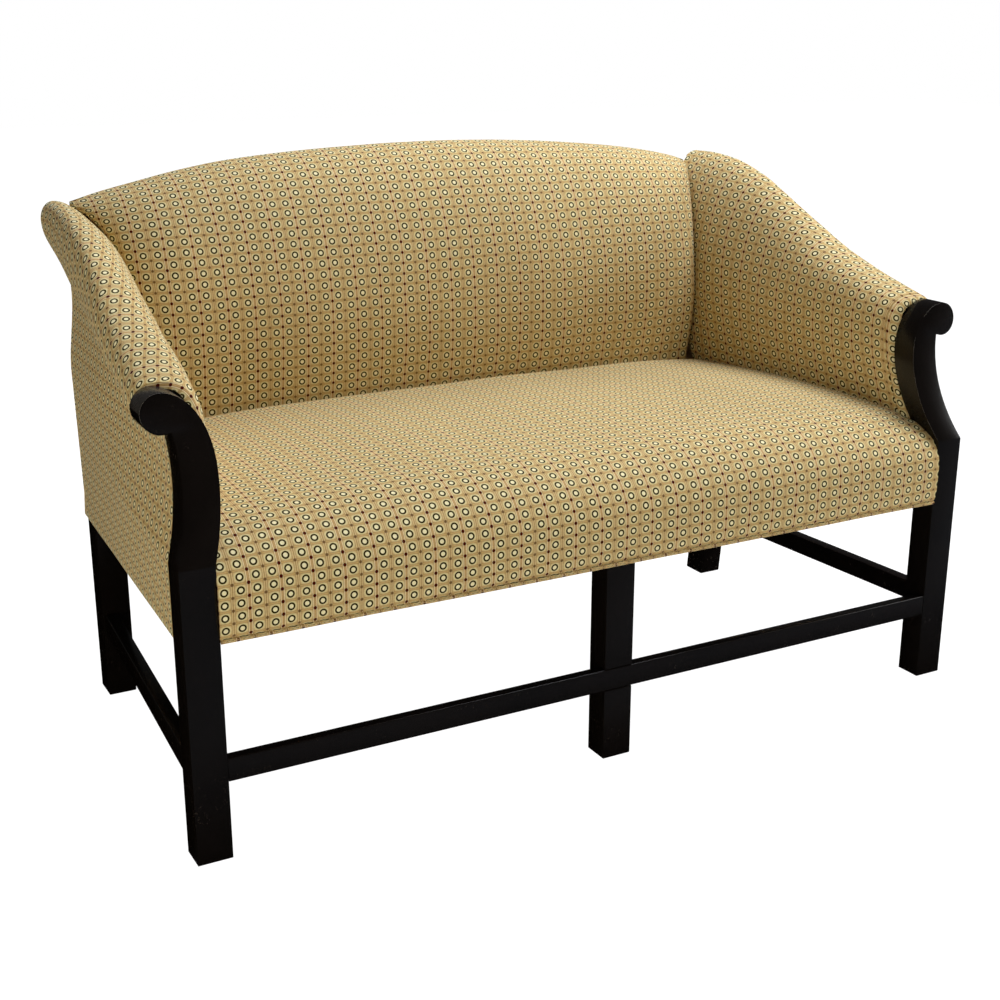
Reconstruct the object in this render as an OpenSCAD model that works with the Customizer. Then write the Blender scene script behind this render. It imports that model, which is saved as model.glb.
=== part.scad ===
// Loveseat with an ebonised show-wood frame, scrolled arm posts and tight upholstery.
// X runs across the seat, Y from front to back, Z up; the front faces -Y. Millimetres.

/* [Seat frame] */
// Width across the outer faces of the front posts
front_width = 1354; // [1250:2:1450]
// Y of the front of the rear feet, from the front faces of the front legs
foot_depth = 598; // [580:1:620]
// Underside of the seat rails and of the upholstery
rail_base = 321; // [300:1:335]
// Height of the seat rails
rail_height = 83; // [70:1:86]
// Thickness of the seat rails
rail_thick = 22; // [18:1:26]
// Thickness of the dust cover sheet
dust_thick = 1; // [0.8:0.1:2]

/* [Front posts and legs] */
// Width of a front leg, across the seat
leg_width = 50; // [44:1:54]
// Depth of a front leg, front to back
leg_depth = 45; // [40:1:50]
// Height of the elbow, where a post starts to sweep back
elbow_height = 430; // [424:1:436]
// How far the post sweeps back at the top of its scroll
post_sweep = 63; // [50:1:72]
// How far the outer edge of the post bows in above the elbow
post_bow = 25; // [20:1:28]
// Height of the deepest point of the bow
bow_height = 548; // [540:1:552]
// Radius of the scroll
scroll_radius = 27; // [24:0.5:29]
// Height of the top of the scroll
scroll_top = 651; // [644:1:656]
// How far the scroll stands out past the leg
scroll_reach = 19; // [14:1:24]
// Height of the glide under each leg
glide_height = 2; // [1.5:0.5:4]
// Diameter of the glides
glide_size = 26; // [18:1:34]

/* [Stretchers] */
// Underside of the front stretcher
stretcher_base = 118; // [90:1:150]
// Height of the front stretcher
stretcher_height = 35; // [28:1:45]
// Thickness of the front stretcher
stretcher_thick = 17.5; // [14:0.5:22]
// Underside of the side stretchers
side_stretcher_base = 121; // [90:1:150]
// Height of the side stretchers
side_stretcher_height = 34; // [26:1:45]
// Thickness of the side stretchers
side_stretcher_thick = 21; // [16:1:24]
// How far the side stretchers lie inside the outer faces of the legs
stretcher_setback = 3; // [1:0.5:6]

/* [Rear posts] */
// Width of a rear leg, across the seat
rear_leg_width = 46; // [42:1:50]
// Depth of a rear leg, front to back
rear_leg_depth = 51.5; // [48:0.5:56]
// Width across the outer faces of the rear feet
rear_width = 1281; // [1276:1:1288]
// Angle at which the rear legs kick back below the seat, in degrees
kick_angle = 5.1; // [3:0.1:6]
// Angle of the outside back from vertical, in degrees
rake_angle = 12.5; // [11:0.1:14]
// Height at which the rear post turns from kick to rake
knee_height = 360; // [350:1:368]
// Depth of the rear post at its top
rear_top_depth = 40; // [34:1:46]

/* [Back] */
// Height of the crest at the middle of the back
crest_height = 895; // [885:1:905]
// Drop of the crest at the inner edge of the arms
crest_drop = 64; // [55:1:70]
// Height of the crest rail
crest_rail_height = 75; // [60:1:85]
// Thickness of the back rails and stiles
back_rail_thick = 26; // [20:1:30]
// Underside of the lower back rail
lower_rail_base = 416; // [416:1:420]
// Height of the lower back rail
lower_rail_height = 55; // [45:1:65]
// Width of the back stiles
stile_width = 32; // [25:1:40]
// Thickness of the outside back
outside_back_thick = 7; // [5:0.5:10]
// Depth of the hollow that the back curves through from its belly to its crest
back_lean = 160; // [140:1:165]
// Height of the belly of the back pad
belly_height = 600; // [580:1:620]
// Y of the belly of the back pad, from the front faces of the front legs
belly_depth = 565; // [560:1:570]
// How far the ends of the back pad round away into the arms
end_round = 38; // [20:1:45]

/* [Arms] */
// Top of the arm upholstery just behind the front post
arm_front_height = 657; // [652:1:664]
// Top of the arm upholstery where its line starts to level off
arm_middle_height = 753; // [742:1:764]
// Top of the arm upholstery at the back
arm_rear_height = 839; // [834:1:846]
// Clear width between the arms at the front of the seat
seat_front_width = 1206; // [1200:1:1208]
// Clear width between the arms at the back of the seat
seat_rear_width = 1080; // [1060:1:1090]
// Thickness of the arm padding
arm_padding = 14; // [11:0.5:15]
// Thickness of the padding under the arm roll
roll_padding = 4; // [3:0.5:5]
// How far the arm padding is drawn in where it meets the post
arm_tuck = 8; // [3:0.5:8.5]
// Radius of the arm roll at its rear end
rear_roll = 24; // [20:0.5:25]
// Thickness of the outside arm panels
outside_arm_thick = 3; // [2:0.5:4]
// Thickness of the rail inside the arm roll
arm_rail_thick = 20; // [16:1:22]
// Height of the arm tack rails
tack_rail_height = 36; // [30:1:50]

/* [Padding and webbing] */
// Height of the seat at its crown
seat_height = 493; // [488:1:498]
// How far the seat falls from its middle to the arms
seat_side_fall = 14; // [4:1:20]
// Depth of the rounded front of the seat
waterfall_depth = 125; // [100:1:150]
// Height of the rounded front of the seat
waterfall_height = 94; // [85:1:98]
// How far the front of the seat stands out past the legs
front_swell = 5.5; // [4:0.5:8]
// Clearance between padding and its neighbours
soft_gap = 0.4; // [0.3:0.1:0.8]
// Diameter of the welt cord
welt_size = 6; // [4:0.5:6.5]
// Number of straps of seat webbing
strap_count = 8; // [5:1:9]
// Width of the seat webbing straps
strap_width = 60; // [50:2:75]
// Thickness of the deck cloth over the webbing
deck_thick = 1.2; // [0.8:0.1:1.6]
// Number of straps of back webbing
web_count = 5; // [3:1:6]
// Width of the back webbing straps
web_width = 50; // [40:1:56]
// Thickness of all webbing straps
web_thick = 2; // [1:0.5:2]

/* [Corner blocks] */
// Length of the sides of a corner block
block_size = 70; // [50:1:85]
// Height of a corner block
block_height = 40; // [30:1:50]

/* [Hidden] */

wood = [0.09, 0.07, 0.06];
raw_wood = [0.72, 0.58, 0.40];
fabric = [0.78, 0.68, 0.47];
steel = [0.55, 0.55, 0.56];
jute = [0.62, 0.52, 0.36];
black_cloth = [0.12, 0.12, 0.13];

// More than any height, width or depth of the loveseat, for cutting blocks
reach = 2000;
round_facets = 48;

function mix(a, b, t) = a + (b - a) * t;
function clamp(v, low, high) = min(max(v, low), high);
function share(v, low, high) = clamp((v - low) / (high - low), 0, 1);
function steps(count) = [for (i = [0 : count]) i / count];
// Cubic curve from value a with slope sa to value b with slope sb, over a run of length l
function hermite(a, sa, b, sb, l, t) = a * (2 * t ^ 3 - 3 * t ^ 2 + 1)
    + sa * l * (t ^ 3 - 2 * t ^ 2 + t) + b * (3 * t ^ 2 - 2 * t ^ 3) + sb * l * (t ^ 3 - t ^ 2);
function bezier(a, b, c, d, t) = a * (1 - t) ^ 3 + 3 * b * t * (1 - t) ^ 2
    + 3 * c * t ^ 2 * (1 - t) + d * t ^ 3;

half_front = front_width / 2;
post_inner = half_front - leg_width;
rail_top = rail_base + rail_height;

// Front post, seen from the side: it sweeps back above the elbow
sweep_run = 1.1 * (scroll_top - elbow_height);
function post_front(z) = z <= elbow_height ? 0
    : post_sweep * (1 - (1 - (z - elbow_height) / sweep_run) ^ 2);
function post_rear(z) = leg_depth + post_front(z);

// Front post, seen from the front: it bows in above the elbow and ends in a scroll
bow_rise = bow_height - elbow_height;
scroll_z = scroll_top - scroll_radius;
scroll_x = half_front + scroll_reach - scroll_radius;
notch_z = scroll_z - scroll_radius;
neck_x = post_inner - post_bow;
function bow(z) = post_bow * (1 - ((z - bow_height) / bow_rise) ^ 2);
function post_edge(z) = z <= elbow_height ? half_front : half_front - bow(z);
function post_face(z) = z <= elbow_height ? post_inner
    : post_inner - bow(min(z, bow_height));

// Rear post, seen from the side: the leg kicks back and the back rakes above the knee
knee_y = foot_depth - tan(kick_angle) * knee_height;
rear_top = crest_height - crest_drop;
front_rake = tan(rake_angle) + (rear_leg_depth - rear_top_depth) / (rear_top - knee_height);
function rear_front(z) = z <= knee_height ? foot_depth - tan(kick_angle) * z
    : knee_y + front_rake * (z - knee_height);
function rear_back(z) = z <= knee_height ? rear_leg_depth + foot_depth - tan(kick_angle) * z
    : knee_y + rear_leg_depth + tan(rake_angle) * (z - knee_height);
rear_outer = rear_width / 2;
rear_inner = rear_outer - rear_leg_width;

// Crest arch, and how far the wood under it lies below the fabric
crest_cover = 22;
crest_power = 2.35;
crest_inset = 30;
crest_end = rear_outer - crest_inset;
function crest_line(x) = crest_height - crest_drop * (abs(x) / crest_end) ^ crest_power;

// The frame stands with the middle of its depth over the origin
rear_reach = rear_back(crest_height - crest_cover) + outside_back_thick;
depth_shift = (rear_reach - front_swell) / 2;

module placed() translate([0, -depth_shift, 0]) children();
module right_side() placed() children();
module left_side() placed() mirror([1, 0, 0]) children();
// Solid whose outline is given in X and Z and runs through the whole depth
module front_view(points) translate([0, reach / 2, 0]) rotate([90, 0, 0])
    linear_extrude(height = reach) polygon(points);
// Solid whose outline is given in Y and Z and runs from x = low to x = high
module side_view(points, low, high) translate([low, 0, 0]) rotate([90, 0, 90])
    linear_extrude(height = high - low) polygon(points);
// Solid whose outline is given in X and Y and runs from z = low to z = high
module plan_view(points, low, high) translate([0, 0, low])
    linear_extrude(height = high - low) polygon(points);
module block(x, y, z) translate([x[0], y[0], z[0]])
    cube([x[1] - x[0], y[1] - y[0], z[1] - z[0]]);

// Closed padding between an outer and an inner grid of points with equal rows and columns
module padding(outer, inner) {
    rows = len(outer);
    columns = len(outer[0]);
    count = rows * columns;
    points = concat([for (row = outer) each row], [for (row = inner) each row]);
    function at(i, j) = i * columns + j;
    function quad(a, b, c, d) = [[a, c, b], [a, d, c]];
    last_row = rows - 1;
    last_column = columns - 1;
    outer_faces = [for (i = [0 : rows - 2], j = [0 : columns - 2])
        each quad(at(i, j), at(i, j + 1), at(i + 1, j + 1), at(i + 1, j))];
    inner_faces = [for (i = [0 : rows - 2], j = [0 : columns - 2])
        each quad(count + at(i, j), count + at(i + 1, j), count + at(i + 1, j + 1),
            count + at(i, j + 1))];
    row_ends = [for (j = [0 : columns - 2]) each concat(
        quad(at(0, j), count + at(0, j), count + at(0, j + 1), at(0, j + 1)),
        quad(at(last_row, j), at(last_row, j + 1), count + at(last_row, j + 1),
            count + at(last_row, j)))];
    column_ends = [for (i = [0 : rows - 2]) each concat(
        quad(at(i, 0), at(i + 1, 0), count + at(i + 1, 0), count + at(i, 0)),
        quad(at(i, last_column), count + at(i, last_column),
            count + at(i + 1, last_column), at(i + 1, last_column)))];
    polyhedron(points, concat(outer_faces, inner_faces, row_ends, column_ends));
}

// Front posts: a leg, a bowed neck and a scroll, cut again by the sweep of the side view
head_height = scroll_top - bow_height;
head_width = scroll_x - neck_x;
scroll_start = -115;
scroll_end = 85;
scroll_step = 8;
function post_outline() = concat(
    [[post_inner, glide_height], [half_front, glide_height]],
    [for (t = steps(14)) let (z = mix(elbow_height, notch_z + 2, t)) [post_edge(z), z]],
    [for (a = [scroll_start : scroll_step : scroll_end])
        [scroll_x + scroll_radius * cos(a), scroll_z + scroll_radius * sin(a)]],
    [for (a = [scroll_end : -scroll_step : 0])
        [scroll_x - head_width * cos(a), bow_height + head_height * sin(a)]],
    [for (t = steps(9)) let (z = mix(bow_height, elbow_height, t)) [post_face(z), z]]);
function post_side() = concat(
    [for (t = steps(12)) let (z = mix(elbow_height, scroll_top + 5, t)) [post_front(z), z]],
    [for (t = steps(12)) let (z = mix(scroll_top + 5, elbow_height, t)) [post_rear(z), z]],
    [[leg_depth, glide_height], [0, glide_height]]);
module front_post() color(wood) intersection() {
    front_view(post_outline());
    side_view(post_side(), neck_x - leg_width, half_front + leg_width);
}
module front_left_post() left_side() front_post();
module front_right_post() right_side() front_post();

// Middle leg, housed for the front stretcher that crosses its face
module front_middle_leg() color(wood) placed() difference() {
    block([-leg_width / 2, leg_width / 2], [0, leg_depth], [glide_height, rail_base]);
    block([-leg_width, leg_width], [-leg_depth, stretcher_thick],
        [stretcher_base, stretcher_base + stretcher_height]);
}

// Rear posts: legs that step in for the upholstery and run up into the arm rolls
panel_splay = 9.5;
panel_taper = 7;
panel_knee = 545;
panel_foot = rear_outer + panel_splay;
neck_inset = 15.5;
neck_drop = 137;
rear_neck = [rear_outer - neck_inset, arm_rear_height - neck_drop];
rear_hollow = panel_foot - panel_taper - rear_neck[0];
leg_splay = 6;
post_cover = outside_arm_thick + 3;
stile_inner = rear_inner + leg_splay;
post_drop = 46;
rear_post_top = arm_rear_height - post_drop;
// Outer line of the outside arm at its rear end
function ease(t) = t * t * (3 - 2 * t);
function rear_edge(z) = panel_foot - panel_taper * share(z, rail_base, panel_knee)
    - rear_hollow * ease(share(z, panel_knee, rear_neck[1]));
module rear_post() color(wood) intersection() {
    front_view(concat(
        [[rear_inner, glide_height], [rear_outer, glide_height],
            [rear_outer + leg_splay, rail_base]],
        [for (t = steps(9)) let (z = mix(rail_base, rear_neck[1], t))
            [rear_edge(z) - (z < panel_knee ? welt_size + 1 : post_cover), z]],
        [[rear_neck[0] - post_cover, rear_post_top], [stile_inner, rear_post_top],
            [stile_inner, rail_base]]));
    side_view([[rear_front(glide_height), glide_height],
        [rear_back(glide_height), glide_height], [rear_back(knee_height), knee_height],
        [rear_back(crest_height), crest_height], [rear_front(crest_height), crest_height],
        [rear_front(knee_height), knee_height]], rear_inner - leg_width, reach);
}
module rear_left_post() left_side() rear_post();
module rear_right_post() right_side() rear_post();

// Stretchers
module front_stretcher() color(wood) placed()
    block([-post_inner, post_inner], [0, stretcher_thick],
        [stretcher_base, stretcher_base + stretcher_height]);
// Board in plan along one side, from the front post to the slanted face of the rear post
module side_board(front_x, rear_x, thick, low, high) intersection() {
    plan_view([[front_x, leg_depth], [rear_x, foot_depth], [rear_x - thick, foot_depth],
        [front_x - thick, leg_depth]], low, high);
    side_view([[leg_depth, low], [rear_front(low), low],
        [rear_front(clamp(knee_height, low, high)), clamp(knee_height, low, high)],
        [rear_front(high), high], [leg_depth, high]], 0, reach);
}
module side_stretcher() color(wood)
    side_board(half_front - stretcher_setback, rear_outer + 2 - stretcher_setback,
        side_stretcher_thick, side_stretcher_base, side_stretcher_base + side_stretcher_height);
module left_side_stretcher() left_side() side_stretcher();
module right_side_stretcher() right_side() side_stretcher();

// Nail-on glides, one under each of the five legs
module foot_glides() color(steel) placed() {
    front_foot = half_front - leg_width / 2;
    rear_foot = rear_outer - rear_leg_width / 2;
    rear_foot_y = rear_front(glide_height) + rear_leg_depth / 2;
    feet = [[0, leg_depth / 2], [front_foot, leg_depth / 2], [-front_foot, leg_depth / 2],
        [rear_foot, rear_foot_y], [-rear_foot, rear_foot_y]];
    for (foot = feet) translate([foot[0], foot[1], 0])
        cylinder(h = glide_height, d = glide_size, $fn = round_facets);
}

// Seat frame of rails inside the upholstery
rail_setback = 12;
rail_rear = rail_setback + rail_thick;
rail_back_y = rear_back(knee_height) - rail_thick;
panel_depth = rear_back(rail_base) - leg_depth;
// Outer line in plan of the outside arm along its bottom edge
function panel_line(y) = mix(half_front, panel_foot, (y - leg_depth) / panel_depth);
rail_inset = welt_size + 0.5;
module front_seat_rail() color(raw_wood) placed()
    block([-post_inner, post_inner], [rail_setback, rail_rear], [rail_base, rail_top]);
module rear_seat_rail() color(raw_wood) placed()
    block([-stile_inner, stile_inner], [rail_back_y, rail_back_y + rail_thick],
        [rail_base, rail_top]);
module side_seat_rail() color(raw_wood)
    side_board(panel_line(leg_depth) - rail_inset, panel_line(foot_depth) - rail_inset,
        rail_thick, rail_base, rail_top);
module left_seat_rail() left_side() side_seat_rail();
module right_seat_rail() right_side() side_seat_rail();
// Middle rail below the webbing, from the front rail to the rear rail
sag_room = 24;
module seat_cross_rail() color(raw_wood) placed()
    block([-rail_thick, rail_thick], [rail_rear, rail_back_y],
        [rail_base, rail_top - sag_room]);

// Triangular blocks glued into the four corners of the seat frame
block_base = rail_base + 15;
module corner_blocks() color(raw_wood) {
    side_inner = panel_line(leg_depth) - rail_inset - rail_thick;
    front_corner = min(side_inner, post_inner);
    right_side() corner_pair(front_corner);
    left_side() corner_pair(front_corner);
}
module corner_pair(front_corner) {
    plan_view([[front_corner, leg_depth], [front_corner, rail_rear],
        [front_corner - block_size, rail_rear], [front_corner, rail_rear + block_size]],
        block_base, block_base + block_height);
    plan_view([[stile_inner, rail_back_y], [stile_inner - block_size, rail_back_y],
        [stile_inner, rail_back_y - block_size]], block_base, block_base + block_height);
}

// Straps stretched from the front rail to the rear rail
tack_edge = 6;
strap_spread = seat_rear_width - strap_width / 2;
function strap_x(i) = mix(-strap_spread / 2, strap_spread / 2, (i + 0.5) / strap_count);
module seat_webbing() color(jute) placed()
    for (i = [0 : strap_count - 1])
        block([strap_x(i) - strap_width / 2, strap_x(i) + strap_width / 2],
            [rail_setback + tack_edge, rail_back_y + rail_thick - tack_edge],
            [rail_top, rail_top + web_thick]);
deck_base = rail_top + web_thick;
deck_top = deck_base + deck_thick;
module seat_deck() color(jute) placed()
    plan_view([[-seat_front_width / 2, rail_setback + tack_edge], [seat_front_width / 2,
        rail_setback + tack_edge], [seat_rear_width / 2, belly_depth], [-seat_rear_width / 2,
        belly_depth]], deck_base, deck_top);
module dust_cover() color(black_cloth) placed()
    plan_view([[-post_inner, leg_depth], [post_inner, leg_depth],
        [rear_inner, foot_depth - leg_depth], [rear_inner, rail_back_y],
        [-rear_inner, rail_back_y], [-rear_inner, foot_depth - leg_depth]],
        rail_base - dust_thick, rail_base);

// Inner faces of the arms: how far from the middle they stand at a depth and a height
arm_front_y = 95;
arm_rear_y = 540;
function arm_face(y, z) = mix(seat_front_width, seat_rear_width,
    share(y, arm_front_y, arm_rear_y)) / 2
    + (post_face(z) - seat_front_width / 2) * (1 - share(y, leg_depth, arm_front_y)) ^ 2;

// Tight seat: a bulged front, a rounded edge, then a crown; it falls off towards the arms
seat_base = deck_top + soft_gap;
side_gap = soft_gap + 1;
welt_top = rail_base + welt_size + soft_gap;
back_tuck = 14;
seat_end = belly_depth + back_tuck - 0.6;
seat_crown = 9;
edge_z = seat_height - seat_crown - waterfall_height;
front_rows = [[front_swell - 2, 0], [0.8, 0.14], [0, 0.45]];
crown_rows = [0.1, 0.25, 0.45, 0.65, 0.82, 0.93];
round_rows = 8;
seat_columns = 22;
function seat_profile() = concat(
    [for (row = front_rows) [row[0] - front_swell, mix(welt_top, edge_z, row[1])]],
    [for (t = steps(round_rows)) let (a = 90 * t)
        [waterfall_depth - (waterfall_depth + front_swell) * cos(a),
            edge_z + waterfall_height * sin(a)]],
    [for (t = crown_rows) [mix(waterfall_depth, seat_end - 24, t),
        edge_z + waterfall_height + seat_crown * sin(165 * t ^ 0.8)]],
    [[seat_end - 14, edge_z + waterfall_height - 2], [seat_end - 4, edge_z
        + waterfall_height - 8], [seat_end, edge_z + waterfall_height - 20]]);
function seat_fall(u, z) = seat_side_fall * abs(u) ^ 4 * share(z, edge_z,
    edge_z + waterfall_height);
function seat_point(p, u) = let (z = p[1] - seat_fall(u, p[1]),
    half = arm_face(p[0], max(z, elbow_height)) - side_gap)
    [u * half, p[0] + (p[1] <= edge_z ? 2 * abs(u) ^ 6 : 0), z];
function seat_under(p, u) = let (front = p[0] < rail_setback + 4,
    half = arm_face(p[0], elbow_height) - side_gap)
    [u * half, max(p[0], rail_setback - soft_gap),
        front ? mix(welt_top, seat_base, share(p[1], welt_top, edge_z + waterfall_height / 3))
            : seat_base];
module seat_pad() color(fabric) placed()
    padding([for (p = seat_profile()) [for (j = steps(seat_columns)) seat_point(p, 2 * j - 1)]],
        [for (p = seat_profile()) [for (j = steps(seat_columns)) seat_under(p, 2 * j - 1)]]);

// Welts along the bottom edges of the upholstery
module front_welt() color(fabric) placed()
    translate([-post_inner, welt_size / 2 - front_swell + 1, rail_base + welt_size / 2])
        rotate([0, 90, 0]) cylinder(h = 2 * post_inner, d = welt_size, $fn = round_facets);
module side_welt() color(fabric) intersection() {
    start = panel_line(leg_depth) - welt_size / 2;
    turn = atan2(half_front - panel_foot, panel_depth);
    translate([start, leg_depth, rail_base + welt_size / 2]) rotate([-90, 0, turn])
        translate([0, 0, -welt_size]) cylinder(h = reach, d = welt_size, $fn = round_facets);
    block([0, reach], [leg_depth, rear_back(rail_base + welt_size)],
        [0, reach]);
}
module left_welt() left_side() side_welt();
module right_welt() right_side() side_welt();

// Raked slab that holds the rails and stiles of the back, with its rear face in the rake
module raked(low, high, front_gap, rear_gap) side_view([
    [rear_back(low) - front_gap, low], [rear_back(low) - rear_gap, low],
    [rear_back(high) - rear_gap, high], [rear_back(high) - front_gap, high]], -reach, reach);
lower_rail_top = lower_rail_base + lower_rail_height;
function crest_arch(half, under) = [for (t = steps(24)) let (x = mix(-half, half, t))
    [x, crest_line(x) - under]];
function turned(list) = [for (i = [len(list) - 1 : -1 : 0]) list[i]];
module lower_back_rail() color(raw_wood) placed() intersection() {
    block([-stile_inner, stile_inner], [0, reach], [lower_rail_base, lower_rail_top]);
    raked(rail_top, crest_height, back_rail_thick, 0);
}
crest_half = stile_inner - 14;
module crest_outline() front_view(concat(turned(crest_arch(crest_half, crest_cover)),
    crest_arch(crest_half, crest_cover + crest_rail_height)));
module crest_rail() color(raw_wood) placed() intersection() {
    crest_outline();
    raked(rail_top, crest_height, back_rail_thick, 0);
}
// Upright on the lower back rail, coped to the underside of the crest rail
module back_stile(low, high) intersection() {
    difference() {
        block([low, high], [0, reach], [lower_rail_top, crest_line(low) - crest_cover * 2]);
        crest_outline();
    }
    raked(rail_top, crest_height, back_rail_thick, 0);
}
side_stile = seat_rear_width / 2;
module left_back_stile() color(raw_wood) left_side()
    back_stile(side_stile, side_stile + stile_width);
module right_back_stile() color(raw_wood) right_side()
    back_stile(side_stile, side_stile + stile_width);
module middle_back_stile() color(raw_wood) placed()
    back_stile(-stile_width / 2, stile_width / 2);

// Straps across the fronts of the back stiles
web_low = lower_rail_top + 15;
web_high = crest_line(side_stile) - crest_cover - crest_rail_height - web_width - 4;
module back_webbing() color(jute) placed() intersection() {
    raked(rail_top, crest_height, back_rail_thick + web_thick, back_rail_thick);
    union() for (i = [0 : web_count - 1]) translate([-side_stile - stile_width, 0,
        mix(web_low, web_high, i / (web_count - 1))])
        cube([2 * (side_stile + stile_width), reach, web_width]);
}

// Arm section: rings of points in X and Z, from the seat up over the roll to its neck;
// t runs from the front post at 0 to the outside back at 1
level_off = 0.43;
ridge_hold = 0.87;
ridge_front = post_rear(scroll_top);
ridge_run = rear_back(arm_rear_height) - ridge_front;
start_slope = 0.23;
climb_slope = 0.47;
function arm_top(t) = t < level_off
    ? hermite(arm_front_height, start_slope, arm_middle_height, climb_slope,
        ridge_run * level_off, t / level_off)
    : t < ridge_hold ? hermite(arm_middle_height, climb_slope, arm_rear_height, 0,
        ridge_run * (ridge_hold - level_off), (t - level_off) / (ridge_hold - level_off))
    : arm_rear_height - 3 * ((t - ridge_hold) / (1 - ridge_hold)) ^ 2;
function arm_y(t, z) = mix(post_rear(z) + soft_gap, rear_back(z) - soft_gap, t);
arm_base = deck_top + soft_gap;
ridge_inset = 14;
roll_swell = 8;
front_round = 7;
rear_round = 42;
function ridge_x(t) = mix(scroll_x - 1, panel_foot - ridge_inset, t);
function round_base(t) = bow_height + mix(front_round, rear_round, t);
function roll_edge(t) = mix(scroll_x + scroll_radius - 1, panel_foot + roll_swell, t);
function roll_z(t) = mix(scroll_z, arm_rear_height - 3 - rear_roll, t);
function arm_neck(t) = [mix(post_edge(notch_z), rear_neck[0], t),
    mix(notch_z, rear_neck[1], t)];
// Behind the back pad the section starts higher, on the line where back and arm meet
crease_t = 0.86;
crease_drop = 106;
function start_angle(t) = t <= crease_t ? 0
    : asin(clamp((mix(arm_rear_height - crease_drop, crest_line(crest_end) - 1,
        ((t - crease_t) / (1 - crease_t)) ^ 0.6) - round_base(t))
        / (arm_top(t) - round_base(t)), 0, 0.99));
face_rows = 6;
dome_rows = 8;
roll_rows = 4;
under_rows = 5;
function arm_ring(t) = let (cx = ridge_x(t), cz = round_base(t), top = arm_top(t),
    half = cx - arm_face(arm_y(t, cz), cz), a0 = start_angle(t), ex = roll_edge(t),
    ez = roll_z(t), n = arm_neck(t), all_rows = face_rows + dome_rows)
    concat(
        t <= crease_t
            ? concat([for (i = [0 : face_rows - 1])
                let (z = mix(arm_base, cz, i / face_rows)) [arm_face(arm_y(t, z), z), z]],
                [for (i = [0 : dome_rows]) let (a = 90 * i / dome_rows)
                    [cx - half * cos(a), cz + (top - cz) * sin(a)]])
            : [for (i = [0 : all_rows]) let (a = mix(a0, 90, i / all_rows))
                [cx - half * cos(a), cz + (top - cz) * sin(a)]],
        [for (i = [1 : roll_rows]) let (a = 90 * i / roll_rows)
            [cx + (ex - cx) * sin(a), ez + (top - ez) * cos(a)]],
        [for (i = [1 : under_rows]) bezier([ex, ez], [ex, ez - mix(15, 45, t)],
            n + [mix(26, 0, t), mix(0, 45, t)], n, i / under_rows)]);
// Ring moved into the arm by the thickness of the padding
function padding_at(i, last) = mix(arm_padding, roll_padding,
    share(i / last, (face_rows + dome_rows) / last, 1));
function inset_ring(ring, near) = let (last = len(ring) - 1)
    [for (i = [0 : last]) let (d = ring[min(i + 1, last)] - ring[max(i - 1, 0)],
        thick = near > 0 ? near : padding_at(i, last))
        ring[i] + thick * [d[1], -d[0]] / norm(d)];
arm_rows = [0, 0.01, 0.035, 0.09, 0.17, 0.25, 0.34, 0.43, 0.52, 0.61, 0.7, 0.79, crease_t,
    0.885, 0.93, 0.97, 1];
tuck_end = 0.03;
function tuck(t) = arm_tuck * (1 - min(1, t / tuck_end)) ^ 2 + 0.01;
function lifted(ring, t) = [for (p = ring) [p[0], arm_y(t, p[1]), p[1]]];
module arm_pad() color(fabric)
    padding([for (t = arm_rows) lifted(inset_ring(arm_ring(t), tuck(t)), t)],
        [for (t = arm_rows) lifted(inset_ring(arm_ring(t), 0), t)]);
module left_arm_pad() left_side() arm_pad();
module right_arm_pad() right_side() arm_pad();

// Outside arms: flat cloth-covered panels from the neck of the roll to the side welt
panel_rows = [0, 0.06, 0.2, 0.4, 0.6, 0.75, 0.86, 0.94, 1];
knee_share = (rear_neck[1] - knee_height) / (rear_neck[1] - welt_top);
panel_drops = concat([for (t = steps(7)) t * knee_share], [1]);
function panel_point(t, s, under) = let (n = arm_neck(t), z = mix(n[1] - 1, welt_top, s),
    front_z = mix(notch_z, welt_top, s), rear_z = mix(rear_neck[1], welt_top, s))
    [mix(post_edge(front_z), rear_edge(rear_z), t) - under, arm_y(t, z), z];
module outside_arm() color(fabric)
    padding([for (t = panel_rows) [for (s = panel_drops) panel_point(t, s, 0)]],
        [for (t = panel_rows) [for (s = panel_drops) panel_point(t, s, outside_arm_thick)]]);
module left_outside_arm() left_side() outside_arm();
module right_outside_arm() right_side() outside_arm();

// Curved rail inside each arm roll, from the front post to the rear post
rail_cover = arm_padding + 44;
rail_depth = 28;
rail_reach = 0.93;
rail_clear = outside_arm_thick + 2;
rail_front_x = half_front - post_bow - rail_clear;
rail_rear_x = rear_neck[0] - rail_clear;
function arm_rail_line(under) = [for (t = [0 : 0.1 : rail_reach + 0.01])
    [arm_y(t, arm_top(t)), arm_top(t) - rail_cover - under]];
module arm_rail() color(raw_wood) intersection() {
    side_view(concat(arm_rail_line(0), turned(arm_rail_line(rail_depth))), 0, reach);
    plan_view([[rail_front_x, 0], [rail_front_x, ridge_front], [rail_rear_x, rear_reach],
        [rail_rear_x - arm_rail_thick, rear_reach], [rail_front_x - arm_rail_thick, ridge_front],
        [rail_front_x - arm_rail_thick, 0]], 0, reach);
    side_view([[post_rear(elbow_height), elbow_height], [rear_front(elbow_height),
        elbow_height], [rear_front(crest_height), crest_height],
        [post_rear(scroll_top), crest_height], [post_rear(scroll_top), scroll_top]],
        0, reach);
}
module left_arm_rail() left_side() arm_rail();
module right_arm_rail() right_side() arm_rail();
// Rail at seat level that the inside arm is tacked to
tack_base = deck_top + 1;
tack_inset = 14;
module tack_rail() color(raw_wood) difference() {
    side_board(post_inner + tack_inset + arm_rail_thick, stile_inner + arm_rail_thick,
        arm_rail_thick, tack_base, tack_base + tack_rail_height);
    side_view(post_side(), 0, reach);
}
module left_tack_rail() left_side() tack_rail();
module right_tack_rail() right_side() tack_rail();

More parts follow.
